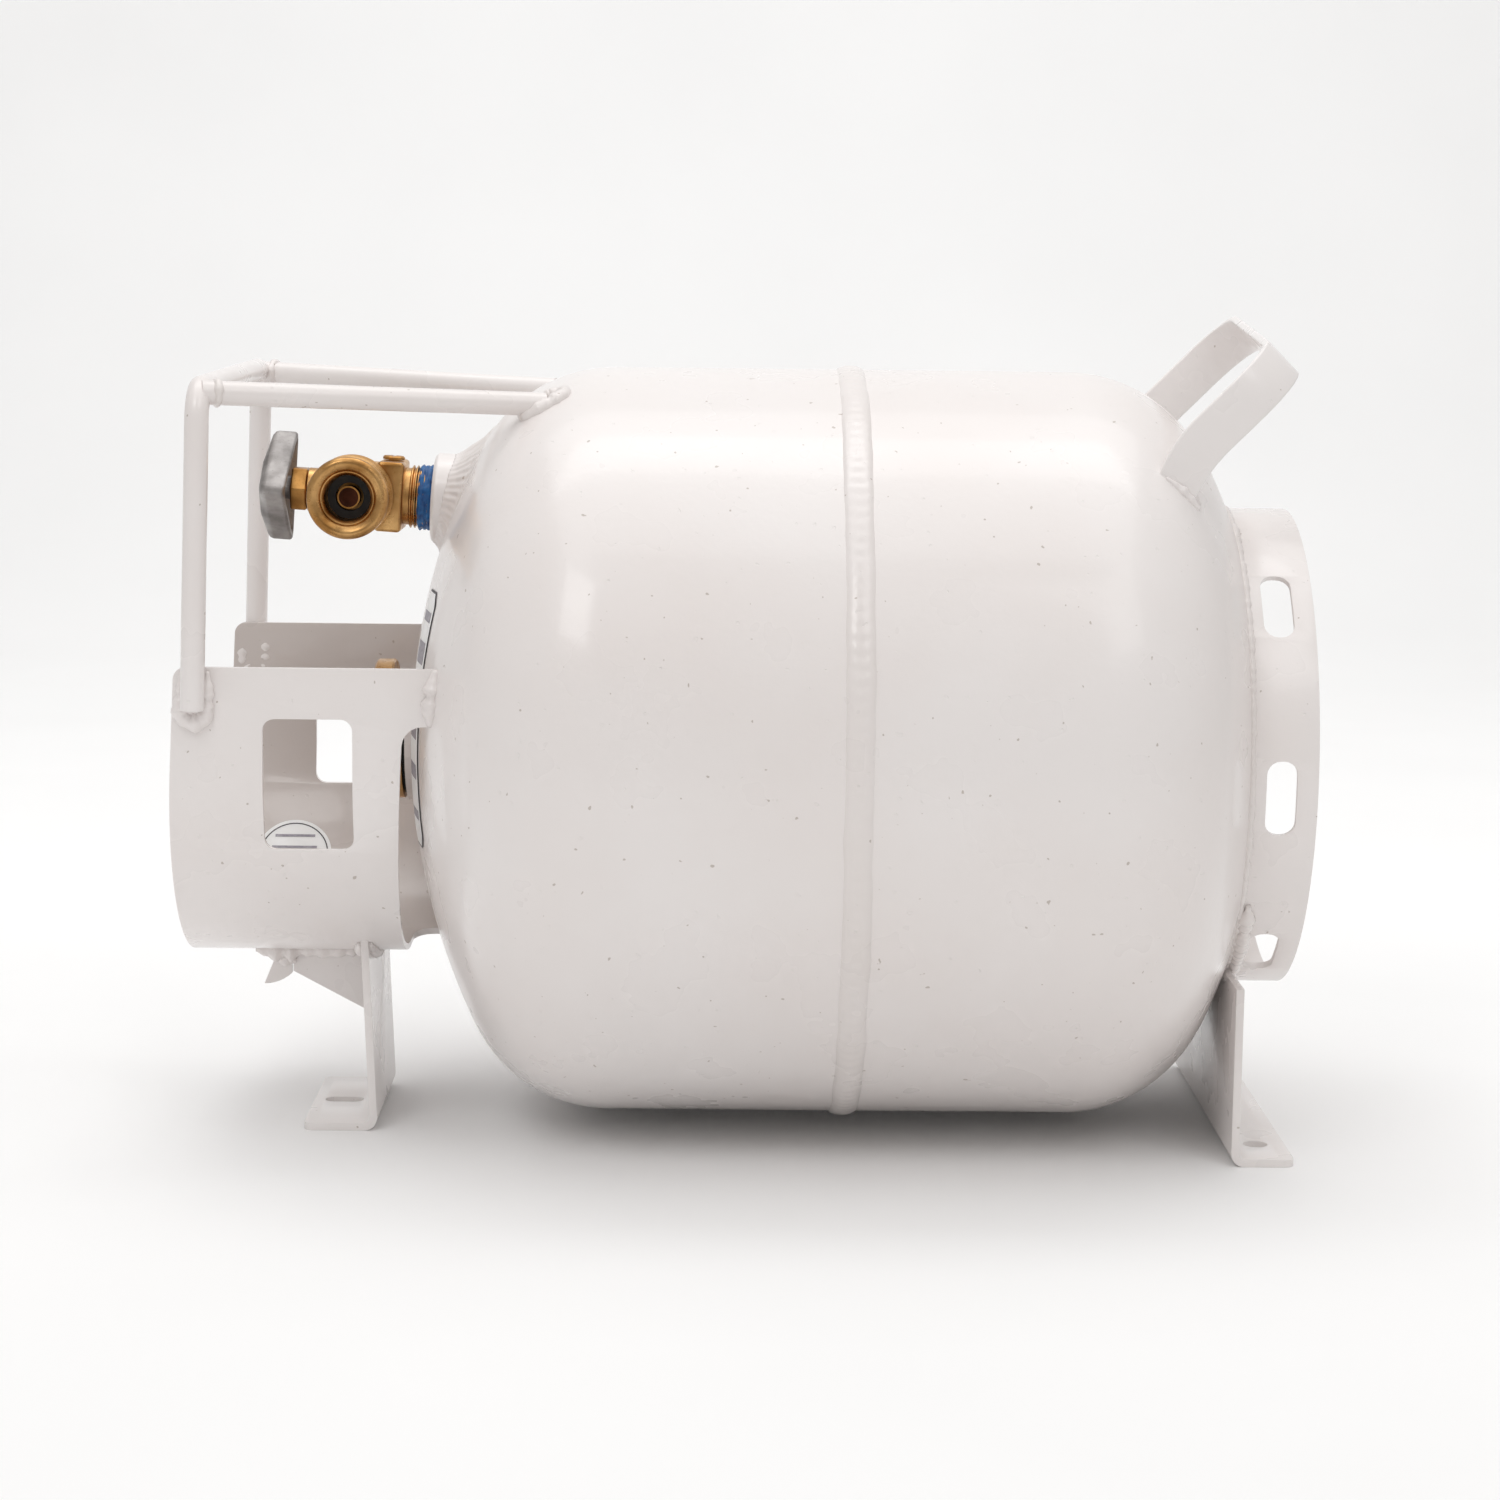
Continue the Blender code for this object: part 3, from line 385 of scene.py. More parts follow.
def tube(shape, path, radius_at, sides=24):
    """A round tube closed with a flat cap at each end. radius_at gives the radius from a point and its
    distance along.
    """
    normal = (path[1] - path[0]).orthogonal().normalized()
    rings = [[shape.verts.new(path[0])]]
    travelled = 0.0
    last = len(path) - 1
    for i, point in enumerate(path):
        tangent = (path[min(i + 1, last)] - path[max(i - 1, 0)]).normalized()
        normal = (normal - tangent * normal.dot(tangent)).normalized()
        side = tangent.cross(normal)
        if i:
            travelled += (point - path[i - 1]).length
        radius = radius_at(point, travelled)
        turns = [2 * pi * k / sides for k in range(sides)]
        rings.append([shape.verts.new(point + (normal * cos(a) + side * sin(a)) * radius) for a in turns])
    rings.append([shape.verts.new(path[last])])
    for low, high in zip(rings, rings[1:]):
        join_rings(shape, low, high)


def resampled(path, spacing):
    """The same path with a point about every spacing."""
    points = [path[0]]
    for start, end in zip(path, path[1:]):
        count = max(1, round((end - start).length / spacing))
        points += [start.lerp(end, (i + 1) / count) for i in range(count)]
    return points


def arc(centre, radius, start, end, steps):
    angles = [start + (end - start) * i / steps for i in range(steps + 1)]
    return [(centre[0] + radius * cos(a), centre[1] + radius * sin(a)) for a in angles]


def bend_path(corners, radius, steps=12):
    """A path of straight runs whose inner corners are rounded."""
    path = [Vector(corners[0])]
    for before, corner, after in zip(corners, corners[1:], corners[2:]):
        corner = Vector(corner)
        to_before = (Vector(before) - corner).normalized()
        to_after = (Vector(after) - corner).normalized()
        half = to_before.angle(to_after) / 2
        centre = corner + (to_before + to_after).normalized() * radius / sin(half)
        first = corner + to_before * radius / tan(half) - centre
        last = corner + to_after * radius / tan(half) - centre
        path += [centre + first.slerp(last, i / steps) * radius for i in range(steps + 1)]
    path.append(Vector(corners[-1]))
    return path


def strip(shape, path, half_widths, across):
    """A flat ribbon along a path."""
    rows = []
    for point, half in zip(path, half_widths):
        rows.append([shape.verts.new(point + across * side * half) for side in (-1, 1)])
    for first, second in zip(rows, rows[1:]):
        shape.faces.new((first[0], first[1], second[1], second[0]))


def surface(shape, rows, columns, point_at):
    """A grid of points from point_at(row share, column share)."""
    grid = []
    for i in range(rows + 1):
        grid.append([shape.verts.new(point_at(i / rows, j / columns)) for j in range(columns + 1)])
    for i in range(rows):
        for j in range(columns):
            shape.faces.new((grid[i][j], grid[i][j + 1], grid[i + 1][j + 1], grid[i + 1][j]))


# Where things meet the tank


def head_radius(depth):
    """Radius of a dished head at a distance in from its apex."""
    turn = asin((TANK_RADIUS - KNUCKLE) / (CROWN - KNUCKLE))
    skirt = CROWN - sqrt((CROWN - KNUCKLE) ** 2 - (TANK_RADIUS - KNUCKLE) ** 2)
    if depth <= 0.0:
        return 0.0
    if depth < CROWN * (1 - cos(turn)):
        return sqrt(CROWN**2 - (CROWN - depth) ** 2)
    if depth < skirt:
        return TANK_RADIUS - KNUCKLE + sqrt(KNUCKLE**2 - (skirt - depth) ** 2)
    return TANK_RADIUS


def inside_tank(point):
    reach = min(head_radius(point.x - VALVE_APEX_X), head_radius(RING_APEX_X - point.x))
    return hypot(point.y, point.z - AXIS_Z) < reach


def meet_tank(outside, inside):
    """Where the line from an outside point to an inside point crosses the tank's surface."""
    for _ in range(30):
        middle = (outside + inside) / 2
        if inside_tank(middle):
            inside = middle
        else:
            outside = middle
    return outside


def bead(name, path, radius, lump=0.22, pitch=0.0042, taper=True):
    """A lumpy weld bead along a path."""
    points = resampled(path, 0.0009)
    length = sum((b - a).length for a, b in zip(points, points[1:]))

    def radius_at(point, travelled):
        size = radius(travelled / length) if callable(radius) else radius
        ripple = 0.10 * sin(2 * pi * travelled / pitch + 2.0 * noise.noise(point * 90))
        lumps = lump * noise.noise(point * 230) + lump * noise.noise(point * 95)
        ends = min(1.0, 0.35 + 90 * min(travelled, length - travelled)) if taper else 1.0
        return size * ends * (1 + ripple + lumps)

    return piece(name, lambda shape: tube(shape, points, radius_at, 20), WELD, sharp=180.0)


# The tank


def head_profile(bends=24, crowns=20):
    """(radius, distance from the apex) points of a dished head, from its apex to its skirt."""
    turn = asin((TANK_RADIUS - KNUCKLE) / (CROWN - KNUCKLE))
    skirt = CROWN - sqrt((CROWN - KNUCKLE) ** 2 - (TANK_RADIUS - KNUCKLE) ** 2)
    crown = [(CROWN * sin(turn * i / crowns), CROWN * (1 - cos(turn * i / crowns))) for i in range(crowns)]
    bend = arc((TANK_RADIUS - KNUCKLE, -skirt), KNUCKLE, pi / 2 - turn, 0.0, bends)
    return crown + [(radius, -height) for radius, height in bend]


def tank_shells():
    """The two half shells, smooth and very slightly uneven, as rolled and drawn steel is."""
    for name, apex_x, facing in (("valve_end", VALVE_APEX_X, -1), ("ring_end", RING_APEX_X, 1)):
        matrix = Matrix.Translation((apex_x, 0.0, AXIS_Z)) @ Matrix.Rotation(facing * pi / 2, 4, "Y")
        mouth = abs(SEAM_X - apex_x)
        profile = [(radius, -depth) for radius, depth in head_profile()]
        straight = mouth + profile[-1][1]
        profile += [(TANK_RADIUS, profile[-1][1] - straight * i / 12) for i in range(1, 13)]
        profile.append((0.0, -mouth))

        def build(shape, profile=profile, matrix=matrix):
            lathe(shape, profile, 256, matrix)
            for vertex in shape.verts:
                out = Vector((0.0, vertex.co.y, vertex.co.z - AXIS_Z))
                vertex.co += out * 0.0016 * noise.noise(vertex.co * 14)

        piece(f"{name}_skin", build, PAINT, stands_for=(f"{name}_shell",), sharp=60.0)


def girth_bead():
    """The machine-laid weld round the middle, with its close ripples."""
    across = 14
    around = 900
    ripples = 170

    def build(shape):
        rings = []
        for k in range(across + 1):
            share = 2 * k / across - 1
            ring = []
            for i in range(around):
                turn = 2 * pi * i / around
                wander = noise.noise(Vector((cos(turn) * 5, sin(turn) * 5, 0.0)))
                swell = 1 + 0.06 * noise.noise(Vector((cos(turn) * 14, sin(turn) * 14, 3.0)))
                crest = max(0.0, 1 - abs(share) ** 2.4) * 0.0017 * swell
                ripple = 0.00011 * sin(ripples * turn - 2.4 * share**2) * (1 - abs(share))
                radius = TANK_RADIUS + min(SEAM_PROUD, crest + ripple - 0.0002 * (abs(share) == 1))
                x = SEAM_X + share * SEAM_HALF * swell + 0.0006 * wander
                ring.append(shape.verts.new((x, radius * sin(turn), AXIS_Z + radius * cos(turn))))
            rings.append(ring)
        for low, high in zip(rings, rings[1:]):
            join_rings(shape, low, high)

    piece("girth_bead", build, WELD, stands_for=("girth_weld",), sharp=180.0)


# The guard


def collar_section(radius, steps=64):
    """The trough's section in (y, z)."""
    bottom = arc((0.0, COLLAR_Z), radius, pi, 2 * pi, steps)
    heights = [COLLAR_TOP - COLLAR_CORNER * (1 - cos(pi / 2 * i / 10)) for i in range(11)]
    return [(-radius, z) for z in heights] + bottom + [(radius, z) for z in reversed(heights)]


def collar_end(z):
    """X of the trough's open end, which leans back as it rises and is rounded at its top corners."""
    share = (z - COLLAR_Z + COLLAR_RADIUS) / (COLLAR_TOP - COLLAR_Z + COLLAR_RADIUS)
    near_top = max(0.0, 1 - (COLLAR_TOP - z) / COLLAR_CORNER)
    return COLLAR_X + COLLAR_LEAN * share**2 + COLLAR_CORNER * (1 - sqrt(1 - near_top**2))


def guard_collar():
    section = collar_section(COLLAR_RADIUS - SHEET / 2)

    def build(shape):
        open_end = [shape.verts.new((collar_end(z), y, z)) for y, z in section]
        tank_end = [shape.verts.new((-0.105, y, z)) for y, z in section]
        for i in range(len(section) - 1):
            shape.faces.new((open_end[i], open_end[i + 1], tank_end[i + 1], tank_end[i]))

    def dress(obj):
        thicken(obj, SHEET)
        for side, ((x0, x1), (z0, z1)) in ((-1, FRONT_WINDOW), (1, BACK_WINDOW)):
            centre = ((x0 + x1) / 2, side * COLLAR_RADIUS, (z0 + z1) / 2)
            cut(obj, box_cutter((x1 - x0, 0.03, z1 - z0), centre, 0.0048))
        cut(obj, relief_cutter())
        round_edges(obj, 0.0005, 2)

    collar = piece("guard_collar_skin", build, PAINT, stands_for=("guard_collar",), dress=dress)
    # Faces that look into the trough take the darker copy of the paint: painted shade for the inside of the
    # trough.
    collar.data.materials.append(INNER_PAINTED_SHADE)
    for face in collar.data.polygons:
        outward = Vector((0.0, face.center.y, min(0.0, face.center.z - COLLAR_Z)))
        face.material_index = int(face.normal.dot(outward.normalized()) < -0.7)


def relief_cutter():
    width = 0.060
    deep = 0.140
    drift = width / 2 - deep / 2 * sin(RELIEF_LEAN)
    centre = (RELIEF_X + drift, RELIEF_FAR_Y / 2 - deep / 2, RELIEF_TOP - deep / 2)
    return box_cutter((width, deep + RELIEF_FAR_Y, deep), centre, 0.0085, (0.0, RELIEF_LEAN, 0.0))


def hoop_x(z):
    return HOOP_X - HOOP_LEAN * (HOOP_TOP - z)


def rolled(point, _):
    """A round bar's radius, with the faint unevenness of paint over mill scale."""
    return BAR * (1 + 0.012 * noise.noise(point * 70))


def guard_bars():
    corners = [
        (hoop_x(HOOP_FOOT), -HOOP_HALF, HOOP_FOOT),
        (HOOP_X, -HOOP_HALF, HOOP_TOP),
        (HOOP_X, HOOP_HALF, HOOP_TOP + HOOP_RISE),
        (hoop_x(HOOP_FOOT), HOOP_HALF, HOOP_FOOT),
    ]
    path = resampled(bend_path(corners, 0.012), 0.003)
    piece("guard_hoop_bar", lambda shape: tube(shape, path, rolled, 32), PAINT, stands_for=("guard_hoop",))
    for name, side in (("front_rail", -1), ("back_rail", 1)):
        rise = HOOP_RISE if side > 0 else 0.0
        start, end = (Vector((x, side * y, z + rise)) for x, y, z in (RAIL_START, RAIL_END))
        run = resampled([start, end], 0.003)
        piece(f"{name}_bar", lambda shape, run=run: tube(shape, run, rolled, 32), PAINT, stands_for=(name,))
        rail_welds(name, start, end)


def rail_welds(name, start, end):
    """A bead round each end of a rail."""
    along = (end - start).normalized()
    up = along.orthogonal().normalized()
    side = along.cross(up)
    turns = [2 * pi * i / 28 for i in range(29)]
    rims = [up * cos(a) * BAR + side * sin(a) * BAR for a in turns]
    at_dome = [meet_tank(start + rim, end + along * 0.03 + rim) for rim in rims]
    bead(f"{name}_dome_weld", at_dome, 0.0030, 0.35, taper=False)
    at_hoop = [start + along * 0.0062 + rim * 0.9 for rim in rims]
    bead(f"{name}_hoop_weld", at_hoop, 0.0017, 0.35, taper=False)


def hoop_foot_welds():
    """Each upright of the hoop is lapped on the collar and welded down both sides and round its foot."""
    for name, side in (("front", -1), ("back", 1)):
        y = side * (COLLAR_RADIUS + 0.0006)
        reach = BAR + 0.0004
        top = COLLAR_TOP - 0.0015
        path = [Vector((hoop_x(top) + reach, y, top)), Vector((hoop_x(HOOP_FOOT) + reach, y, HOOP_FOOT))]
        under = arc((hoop_x(HOOP_FOOT), HOOP_FOOT), reach, 0.0, -pi, 10)
        path += [Vector((x, y, z)) for x, z in under]
        path += [Vector((hoop_x(top) - reach, y, top))]
        bead(f"hoop_{name}_foot_weld", path, lambda share: 0.0018 + 0.0018 * sin(pi * share), 0.40)
        toe = [Vector((hoop_x(HOOP_FOOT) + shift, y, HOOP_FOOT - 0.0005)) for shift in (-0.0035, 0.0040)]
        bead(f"hoop_{name}_toe_weld", toe, 0.0044, 0.35)


def collar_welds():
    """Where the trough meets the head: the front wall above its cut-out, and the whole of the back."""
    for face, radius in (("outer", COLLAR_RADIUS), ("inner", COLLAR_RADIUS - SHEET)):
        section = collar_section(radius)
        front = [(y, z) for y, z in resample_flat([(-radius, COLLAR_TOP), (-radius, RELIEF_TOP + 0.001)])]
        back = [(y, z) for y, z in resample_flat(section) if y > RELIEF_FAR_Y + 0.002]
        for name, line in (("front", front), ("back", back)):
            path = [meet_tank(Vector((-0.2, y, z)), Vector((-0.08, y, z))) for y, z in line]
            heavy = (name, face) == ("front", "outer")
            bead(f"collar_{name}_{face}_weld", path, 0.0046 if heavy else 0.0024, 0.45 if heavy else 0.28)


def resample_flat(line):
    """The same (y, z) line with a point about every 2 mm."""
    points = resampled([Vector((y, z, 0.0)) for y, z in line], 0.002)
    return [(point.x, point.y) for point in points]


# The foot ring and the feet


def foot_ring():
    matrix = Matrix.Translation((0.0, 0.0, AXIS_Z)) @ Matrix.Rotation(pi / 2, 4, "Y")
    inner = RING_RADIUS - SHEET
    profile = [(RING_RADIUS, 0.19), (RING_RADIUS, RING_X), (inner, RING_X), (inner, 0.19)]

    def dress(obj):
        for i in range(SLOTS):
            angle = SLOT_FIRST + i * SLOT_PITCH
            centre = (SLOT_X, -RING_RADIUS * cos(angle), AXIS_Z - RING_RADIUS * sin(angle))
            cut(obj, box_cutter(SLOT_SIZE, centre, 0.0055, (angle, 0.0, 0.0)))
        round_edges(obj, 0.0006, 2)

    def build(shape):
        lathe(shape, profile, 192, matrix, loop=True)

    piece("foot_ring_skin", build, PAINT, stands_for=("foot_ring",), dress=dress)
    turns = [2 * pi * i / 96 for i in range(97)]
    rims = [Vector((0.0, RING_RADIUS * sin(a), AXIS_Z + RING_RADIUS * cos(a))) for a in turns]
    path = [meet_tank(rim + Vector((0.24, 0.0, 0.0)), rim + Vector((0.15, 0.0, 0.0))) for rim in rims]
    bead("ring_weld", path, 0.0017, 0.30, taper=False)


def rounded_end(path, half, radius, steps=8):
    """Rounds the two corners at the end of a strip. Returns its path and its half widths."""
    end = path[-1]
    along = (end - path[-2]).normalized()
    turns = [pi / 2 * i / steps for i in range(steps + 1)]
    points = path[:-1] + [end - along * radius * (1 - sin(a)) for a in turns]
    widths = [half] * (len(path) - 1) + [half - radius * (1 - cos(a)) for a in turns]
    return points, widths


def foot(name, corners, half, tools, node):
    """A foot bent from plate: an upright and a flange."""
    path = bend_path([(x, 0.0, z) for x, z in corners], 0.004)
    points, widths = rounded_end(path, half, 0.004)

    def build(shape):
        strip(shape, points, widths, Vector((0.0, 1.0, 0.0)))

    def dress(obj):
        thicken(obj, PLATE)
        for tool in tools:
            cut(obj, tool)
        round_edges(obj, 0.0006, 2)

    piece(name, build, PAINT, stands_for=(node,), dress=dress)


def collar_core():
    """A cutter as large as the middle of the trough's sheet."""
    matrix = Matrix.Translation((0.0, 0.0, COLLAR_Z)) @ Matrix.Rotation(pi / 2, 4, "Y")
    radius = COLLAR_RADIUS - SHEET / 2
    profile = [(0.0, -0.30), (radius, -0.30), (radius, -0.05), (0.0, -0.05)]
    return cutter(lambda shape: lathe(shape, profile, 128, matrix))


def bolt_hole(x, y):
    profile = [(0.0, -0.01), (FOOT_HOLE, -0.01), (FOOT_HOLE, 0.01), (0.0, 0.01)]
    return cutter(lambda shape: lathe(shape, profile, 48, Matrix.Translation((x, y, 0.0))))


def feet():
    slot = box_cutter((0.0165, 0.0085, 0.02), (VALVE_FOOT[1][0] - 0.0165, 0.0, 0.0), 0.0041)
    foot("valve_foot_plate", VALVE_FOOT, VALVE_FOOT_HALF, [collar_core(), slot], "valve_end_foot")
    holes = [bolt_hole(0.2140, side * 0.0610) for side in (-1, 1)]
    foot("ring_foot_plate", RING_FOOT, RING_FOOT_HALF, holes, "ring_end_foot")


def foot_welds():
    """Heavy hand-laid beads where the feet, the web and the tab meet what they hang from."""
    under = COLLAR_RADIUS + 0.0006
    for name, x in (("left", -0.1565), ("right", -0.1522)):
        spread = [-0.039 + 0.078 * i / 24 for i in range(25)]
        path = [Vector((x, y, COLLAR_Z - sqrt(under**2 - y * y))) for y in spread]
        bead(f"valve_foot_{name}_weld", path, 0.0026, 0.34)
    for name, side in (("front", -1), ("back", 1)):
        line = [Vector((x, side * 0.0036, COLLAR_Z - under - 0.0006)) for x in (-0.2040, -0.1560)]
        bead(f"web_{name}_weld", line, lambda share: 0.0052 - 0.0022 * share, 0.50, 0.0065)
        ends = ((-0.1985, 0.003), (-0.1870, 0.006))
        root = [Vector((x, side * 0.0022, COLLAR_Z - under - dip)) for x, dip in ends]
        bead(f"tab_{name}_weld", root, 0.0046, 0.50, 0.0065)
    turns = [radians(-90 - 29 * i / 12) for i in range(25)]
    rim = RING_RADIUS + 0.0008
    path = [Vector((0.2040, rim * cos(a), AXIS_Z + rim * sin(a))) for a in turns]
    bead("ring_foot_weld", path, 0.0026, 0.34)
    for name, side in (("front", -1), ("back", 1)):
        corner = Vector((0.2016, side * 0.0480, AXIS_Z - 0.0874))
        path = [corner, corner + Vector((0.0, side * 0.0120, -0.0015))]
        bead(f"ring_foot_{name}_corner_weld", path, 0.0034, 0.40)


# The handle


def handle_point(offset, reach, y):
    """A point from its x - z and x + z, both taken from the tank's axis."""
    return Vector(((reach + offset) / 2, y, AXIS_Z + (reach - offset) / 2))


def curl(point):
    """How far a point of the strap swings down the head."""
    distance = max(0.0, HANDLE_CURL_START - (point.x + point.z - AXIS_Z))
    return Vector((1.0, 0.0, -1.0)) * distance**2 * 3.0


def strap_handle():
    reach = HANDLE_REACH - PLATE / 2
    half = HANDLE_HALF - PLATE / 2
    low, high = reach - HANDLE_SLANT * half, reach + HANDLE_SLANT * half
    ends = ((HANDLE_ROOT, -half), (low, -half), (high, half), (HANDLE_ROOT, half))
    corners = [handle_point(HANDLE_OFFSET, along, y) for along, y in ends]
    path = resampled(bend_path(corners, HANDLE_BEND, 16), 0.004)
    across = Vector((1.0, 0.0, -1.0)).normalized()
    path = [point + curl(point) for point in path]

    def build(shape):
        strip(shape, path, [HANDLE_WIDTH / 2] * len(path), across)

    def dress(obj):
        thicken(obj, PLATE)
        round_edges(obj, 0.0008, 3)

    piece("strap_handle_bar", build, PAINT, stands_for=("strap_handle",), dress=dress)
    handle_welds(half, across)


def handle_welds(half, across):
    """A bead down the inner and outer face of each leg, where it meets the shoulder."""
    for name, side in (("front", -1), ("back", 1)):
        for face, shift in (("outer", 1), ("inner", -1)):
            y = side * (half + shift * PLATE / 2)
            path = []
            for i in range(13):
                offset = across * HANDLE_WIDTH * (i / 12 - 0.5)
                high = handle_point(HANDLE_OFFSET, 0.3100, y)
                low = handle_point(HANDLE_OFFSET, HANDLE_ROOT, y)
                path.append(meet_tank(high + curl(high) + offset, low + curl(low) + offset))
            bead(f"handle_{name}_{face}_weld", path, 0.0024, 0.34)


# The valve


def boss_and_weld():
    """The boss with its chamfered edge, let into the head, and the weld round it."""
    edge = 0.0014
    profile = [(0.0, 0.0), (BOSS_RADIUS - edge, 0.0), (BOSS_RADIUS, -edge)]
    profile += [(BOSS_RADIUS, -0.03), (0.0, -0.03)]

    def build(shape):
        lathe(shape, profile, 96, VALVE)

    def dress(obj):
        round_edges(obj, 0.0004, 2)

    piece("valve_boss_skin", build, PAINT, stands_for=("valve_boss",), dress=dress)
    piece("boss_weld", boss_skirt, WELD, sharp=180.0)


def boss_skirt(shape):
    """The broad weld round the boss, wide where the head falls away above it and narrow below."""
    around = 240
    across = 14
    sink = 0.0030
    rings = []
    for k in range(across + 3):
        share = min(max(k - 1, 0), across) / across
        rings.append([shape.verts.new(skirt_point(2 * pi * i / around, share)) for i in range(around)])
    # The first and last ring are the edges let into the metal, so that the weld is closed.
    for ring in (rings[0], rings[-1]):
        for vertex in ring:
            vertex.co -= VALVE.to_3x3() @ Vector((0.0, 0.0, sink))
    rings.append(rings[0])
    for low, high in zip(rings, rings[1:]):
        join_rings(shape, low, high)


def skirt_point(turn, share):
    """A point of the boss's weld, from its edge on the boss (share 0) to its edge on the head (share 1)."""
    spread = Vector((cos(turn), sin(turn), 0.0))
    wobble = 1 + 0.10 * noise.noise(spread * 3.1)
    up_boss = (0.0065 + 0.0030 * cos(turn)) * wobble
    down_head = (0.0088 + 0.0046 * cos(turn)) * wobble
    rim = VALVE @ (spread * (BOSS_RADIUS - 0.0002))
    out = VALVE.to_3x3() @ Vector((0.0, 0.0, 1.0))
    corner = meet_tank(rim + out * 0.03, rim - out * 0.06)
    foot = VALVE @ (spread * (BOSS_RADIUS + down_head))
    foot = meet_tank(foot + out * 0.03, foot - out * 0.08)
    top = corner + out * up_boss
    middle = corner.lerp((top + foot) / 2, 0.50)
    point = top * (1 - share) ** 2 + middle * 2 * share * (1 - share) + foot * share**2
    swell = 0.00050 * noise.noise(point * 120) + 0.00035 * noise.noise(point * 320)
    ripple = 0.00022 * sin(46 * turn + 3 * share + 2 * noise.noise(point * 60))
    return point + (out + VALVE.to_3x3() @ spread).normalized() * (swell + ripple) * sin(pi * share) ** 0.5


def threads(low, high, crest, root, pitch, flat):
    """A thread's outline as (radius, height) points, from low to high."""
    points = []
    count = int((high - low) / pitch)
    for i in range(count):
        start = low + i * pitch
        slope = (pitch - 2 * flat) / 2
        points += [(root, start), (root, start + flat), (crest, start + flat + slope)]
        points.append((crest, start + 2 * flat + slope))
    return points + [(root, low + count * pitch)]


def outlet_profile():
    """The outlet's outside, its rounded lip and its bore, from the middle of its root to the bore's floor."""
    face = OUTLET_FACE
    body = [(0.0, 0.0015), (0.0140, 0.0020), (0.0140, 0.0130), (0.0150, 0.0145)]
    body += threads(0.0150, 0.0332, 0.0168, 0.0150, 0.0045, 0.0009)
    lip = [(0.0160, 0.0348)] + arc((0.0141, face - 0.0027), 0.0027, 0.0, pi / 2, 10)
    lip += [(0.0134, face - 0.0002), (0.0122, face - 0.0009), (0.0115, face - 0.0014)]
    lip += [(0.0112, face - 0.0020), (0.0109, face - 0.0016), (0.0105, face - 0.0017)]
    lip += [(0.0098, face - 0.0024), (0.0094, face - 0.0034)]
    bore = [(0.0093, face - 0.0036), (0.0093, 0.0272), (0.0058, 0.0240), (0.0058, 0.0172), (0.0, 0.0170)]
    return body + lip + bore


def valve_casting():
    """The forging's turned parts, its wrench block, and the plunger's rim in the outlet."""
    shank = [(0.0, -0.002), (0.0122, -0.002)] + threads(0.0006, 0.0110, SHANK, 0.0119, 0.0018, 0.0003)
    shank += [(0.0119, 0.0124), (0.0, 0.0124)]
    barrel = [(0.0, 0.020), (0.0135, 0.020), (0.0135, 0.0405), (0.0128, 0.0416), (0.0104, 0.0432)]
    barrel += [(0.0098, 0.0445), (0.0098, 0.0470), (0.0090, 0.0478), (0.0090, 0.0520), (0.0, 0.0520)]
    relief = [(0.0, -0.0020), (0.0100, -0.0020), (0.0100, -0.0190), (0.0092, -0.0196), (0.0092, -0.0206)]
    relief += [(0.0100, -0.0212), (0.0100, -0.0245), (0.0095, -0.0250), (0.0068, -0.0250), (0.0068, -0.0120)]
    relief += [(0.0, -0.0118)]

    def build_turned(shape):
        lathe(shape, shank, 96, VALVE)
        lathe(shape, barrel, 96, VALVE)
        lathe(shape, relief, 72, OUTLET)
        lathe(shape, outlet_profile(), 128, OUTLET)

    def build_block(shape):
        size = Matrix.Diagonal((*BLOCK_SIZE, 1.0))
        middle = VALVE @ Matrix.Translation((0.0, 0.0, BLOCK_MIDDLE))
        bmesh.ops.create_cube(shape, size=1.0, matrix=middle @ size)
        bmesh.ops.bevel(shape, geom=shape.edges[:], offset=0.0016, segments=5, profile=0.5, affect="EDGES")

    def build_rim(shape):
        rim = [(0.0040, 0.0308), (0.0046, 0.0308), (0.0046, 0.0312), (0.0040, 0.0312)]
        lathe(shape, rim, 64, OUTLET, loop=True)

    def dress(obj):
        where = VALVE @ Matrix.Translation(VENT_AT) @ Matrix.Rotation(pi / 2, 4, "X")
        vent = [(0.0, -0.004), (VENT_RADIUS, -0.004), (VENT_RADIUS, 0.004), (0.0, 0.004)]
        cut(obj, cutter(lambda shape: lathe(shape, vent, 24, where)))

    piece("valve_barrel", build_turned, BRASS, stands_for=("valve_body",), sharp=28.0)
    piece("valve_block", build_block, BRASS, stands_for=("valve_body",), dress=dress, sharp=28.0)
    piece("plunger_rim", build_rim, DARK_BRASS, "outlet_check")


def sealant_ring():
    """Blue sealant squeezed between the threads, with a ragged edge."""
    profile = threads(0.0002, 0.0060, 0.0136, 0.0131, 0.0018, 0.0003)
    profile = [(0.0120, 0.0002)] + profile + [(0.0120, 0.0060)]

    def build(shape):
        lathe(shape, profile, 120, VALVE, loop=True)
        for vertex in shape.verts:
            vertex.co += (vertex.co - VALVE_AT) * 0.045 * noise.noise(vertex.co * 420)

    piece("sealant_ring", build, SEALANT, stands_for=("thread_sealant",), sharp=60.0)


def wheel_outline():
    """A rounded triangle, one corner towards the outlet."""
    points = []
    for i in range(3):
        middle = -pi / 2 + i * 2 * pi / 3
        centre = (WHEEL_CORNER_AT * cos(middle), WHEEL_CORNER_AT * sin(middle))
        points += arc(centre, WHEEL_CORNER, middle - pi / 3, middle + pi / 3, 10)
        ahead = middle + pi / 3
        points.append((WHEEL_SIDE * cos(ahead), WHEEL_SIDE * sin(ahead)))
    return points


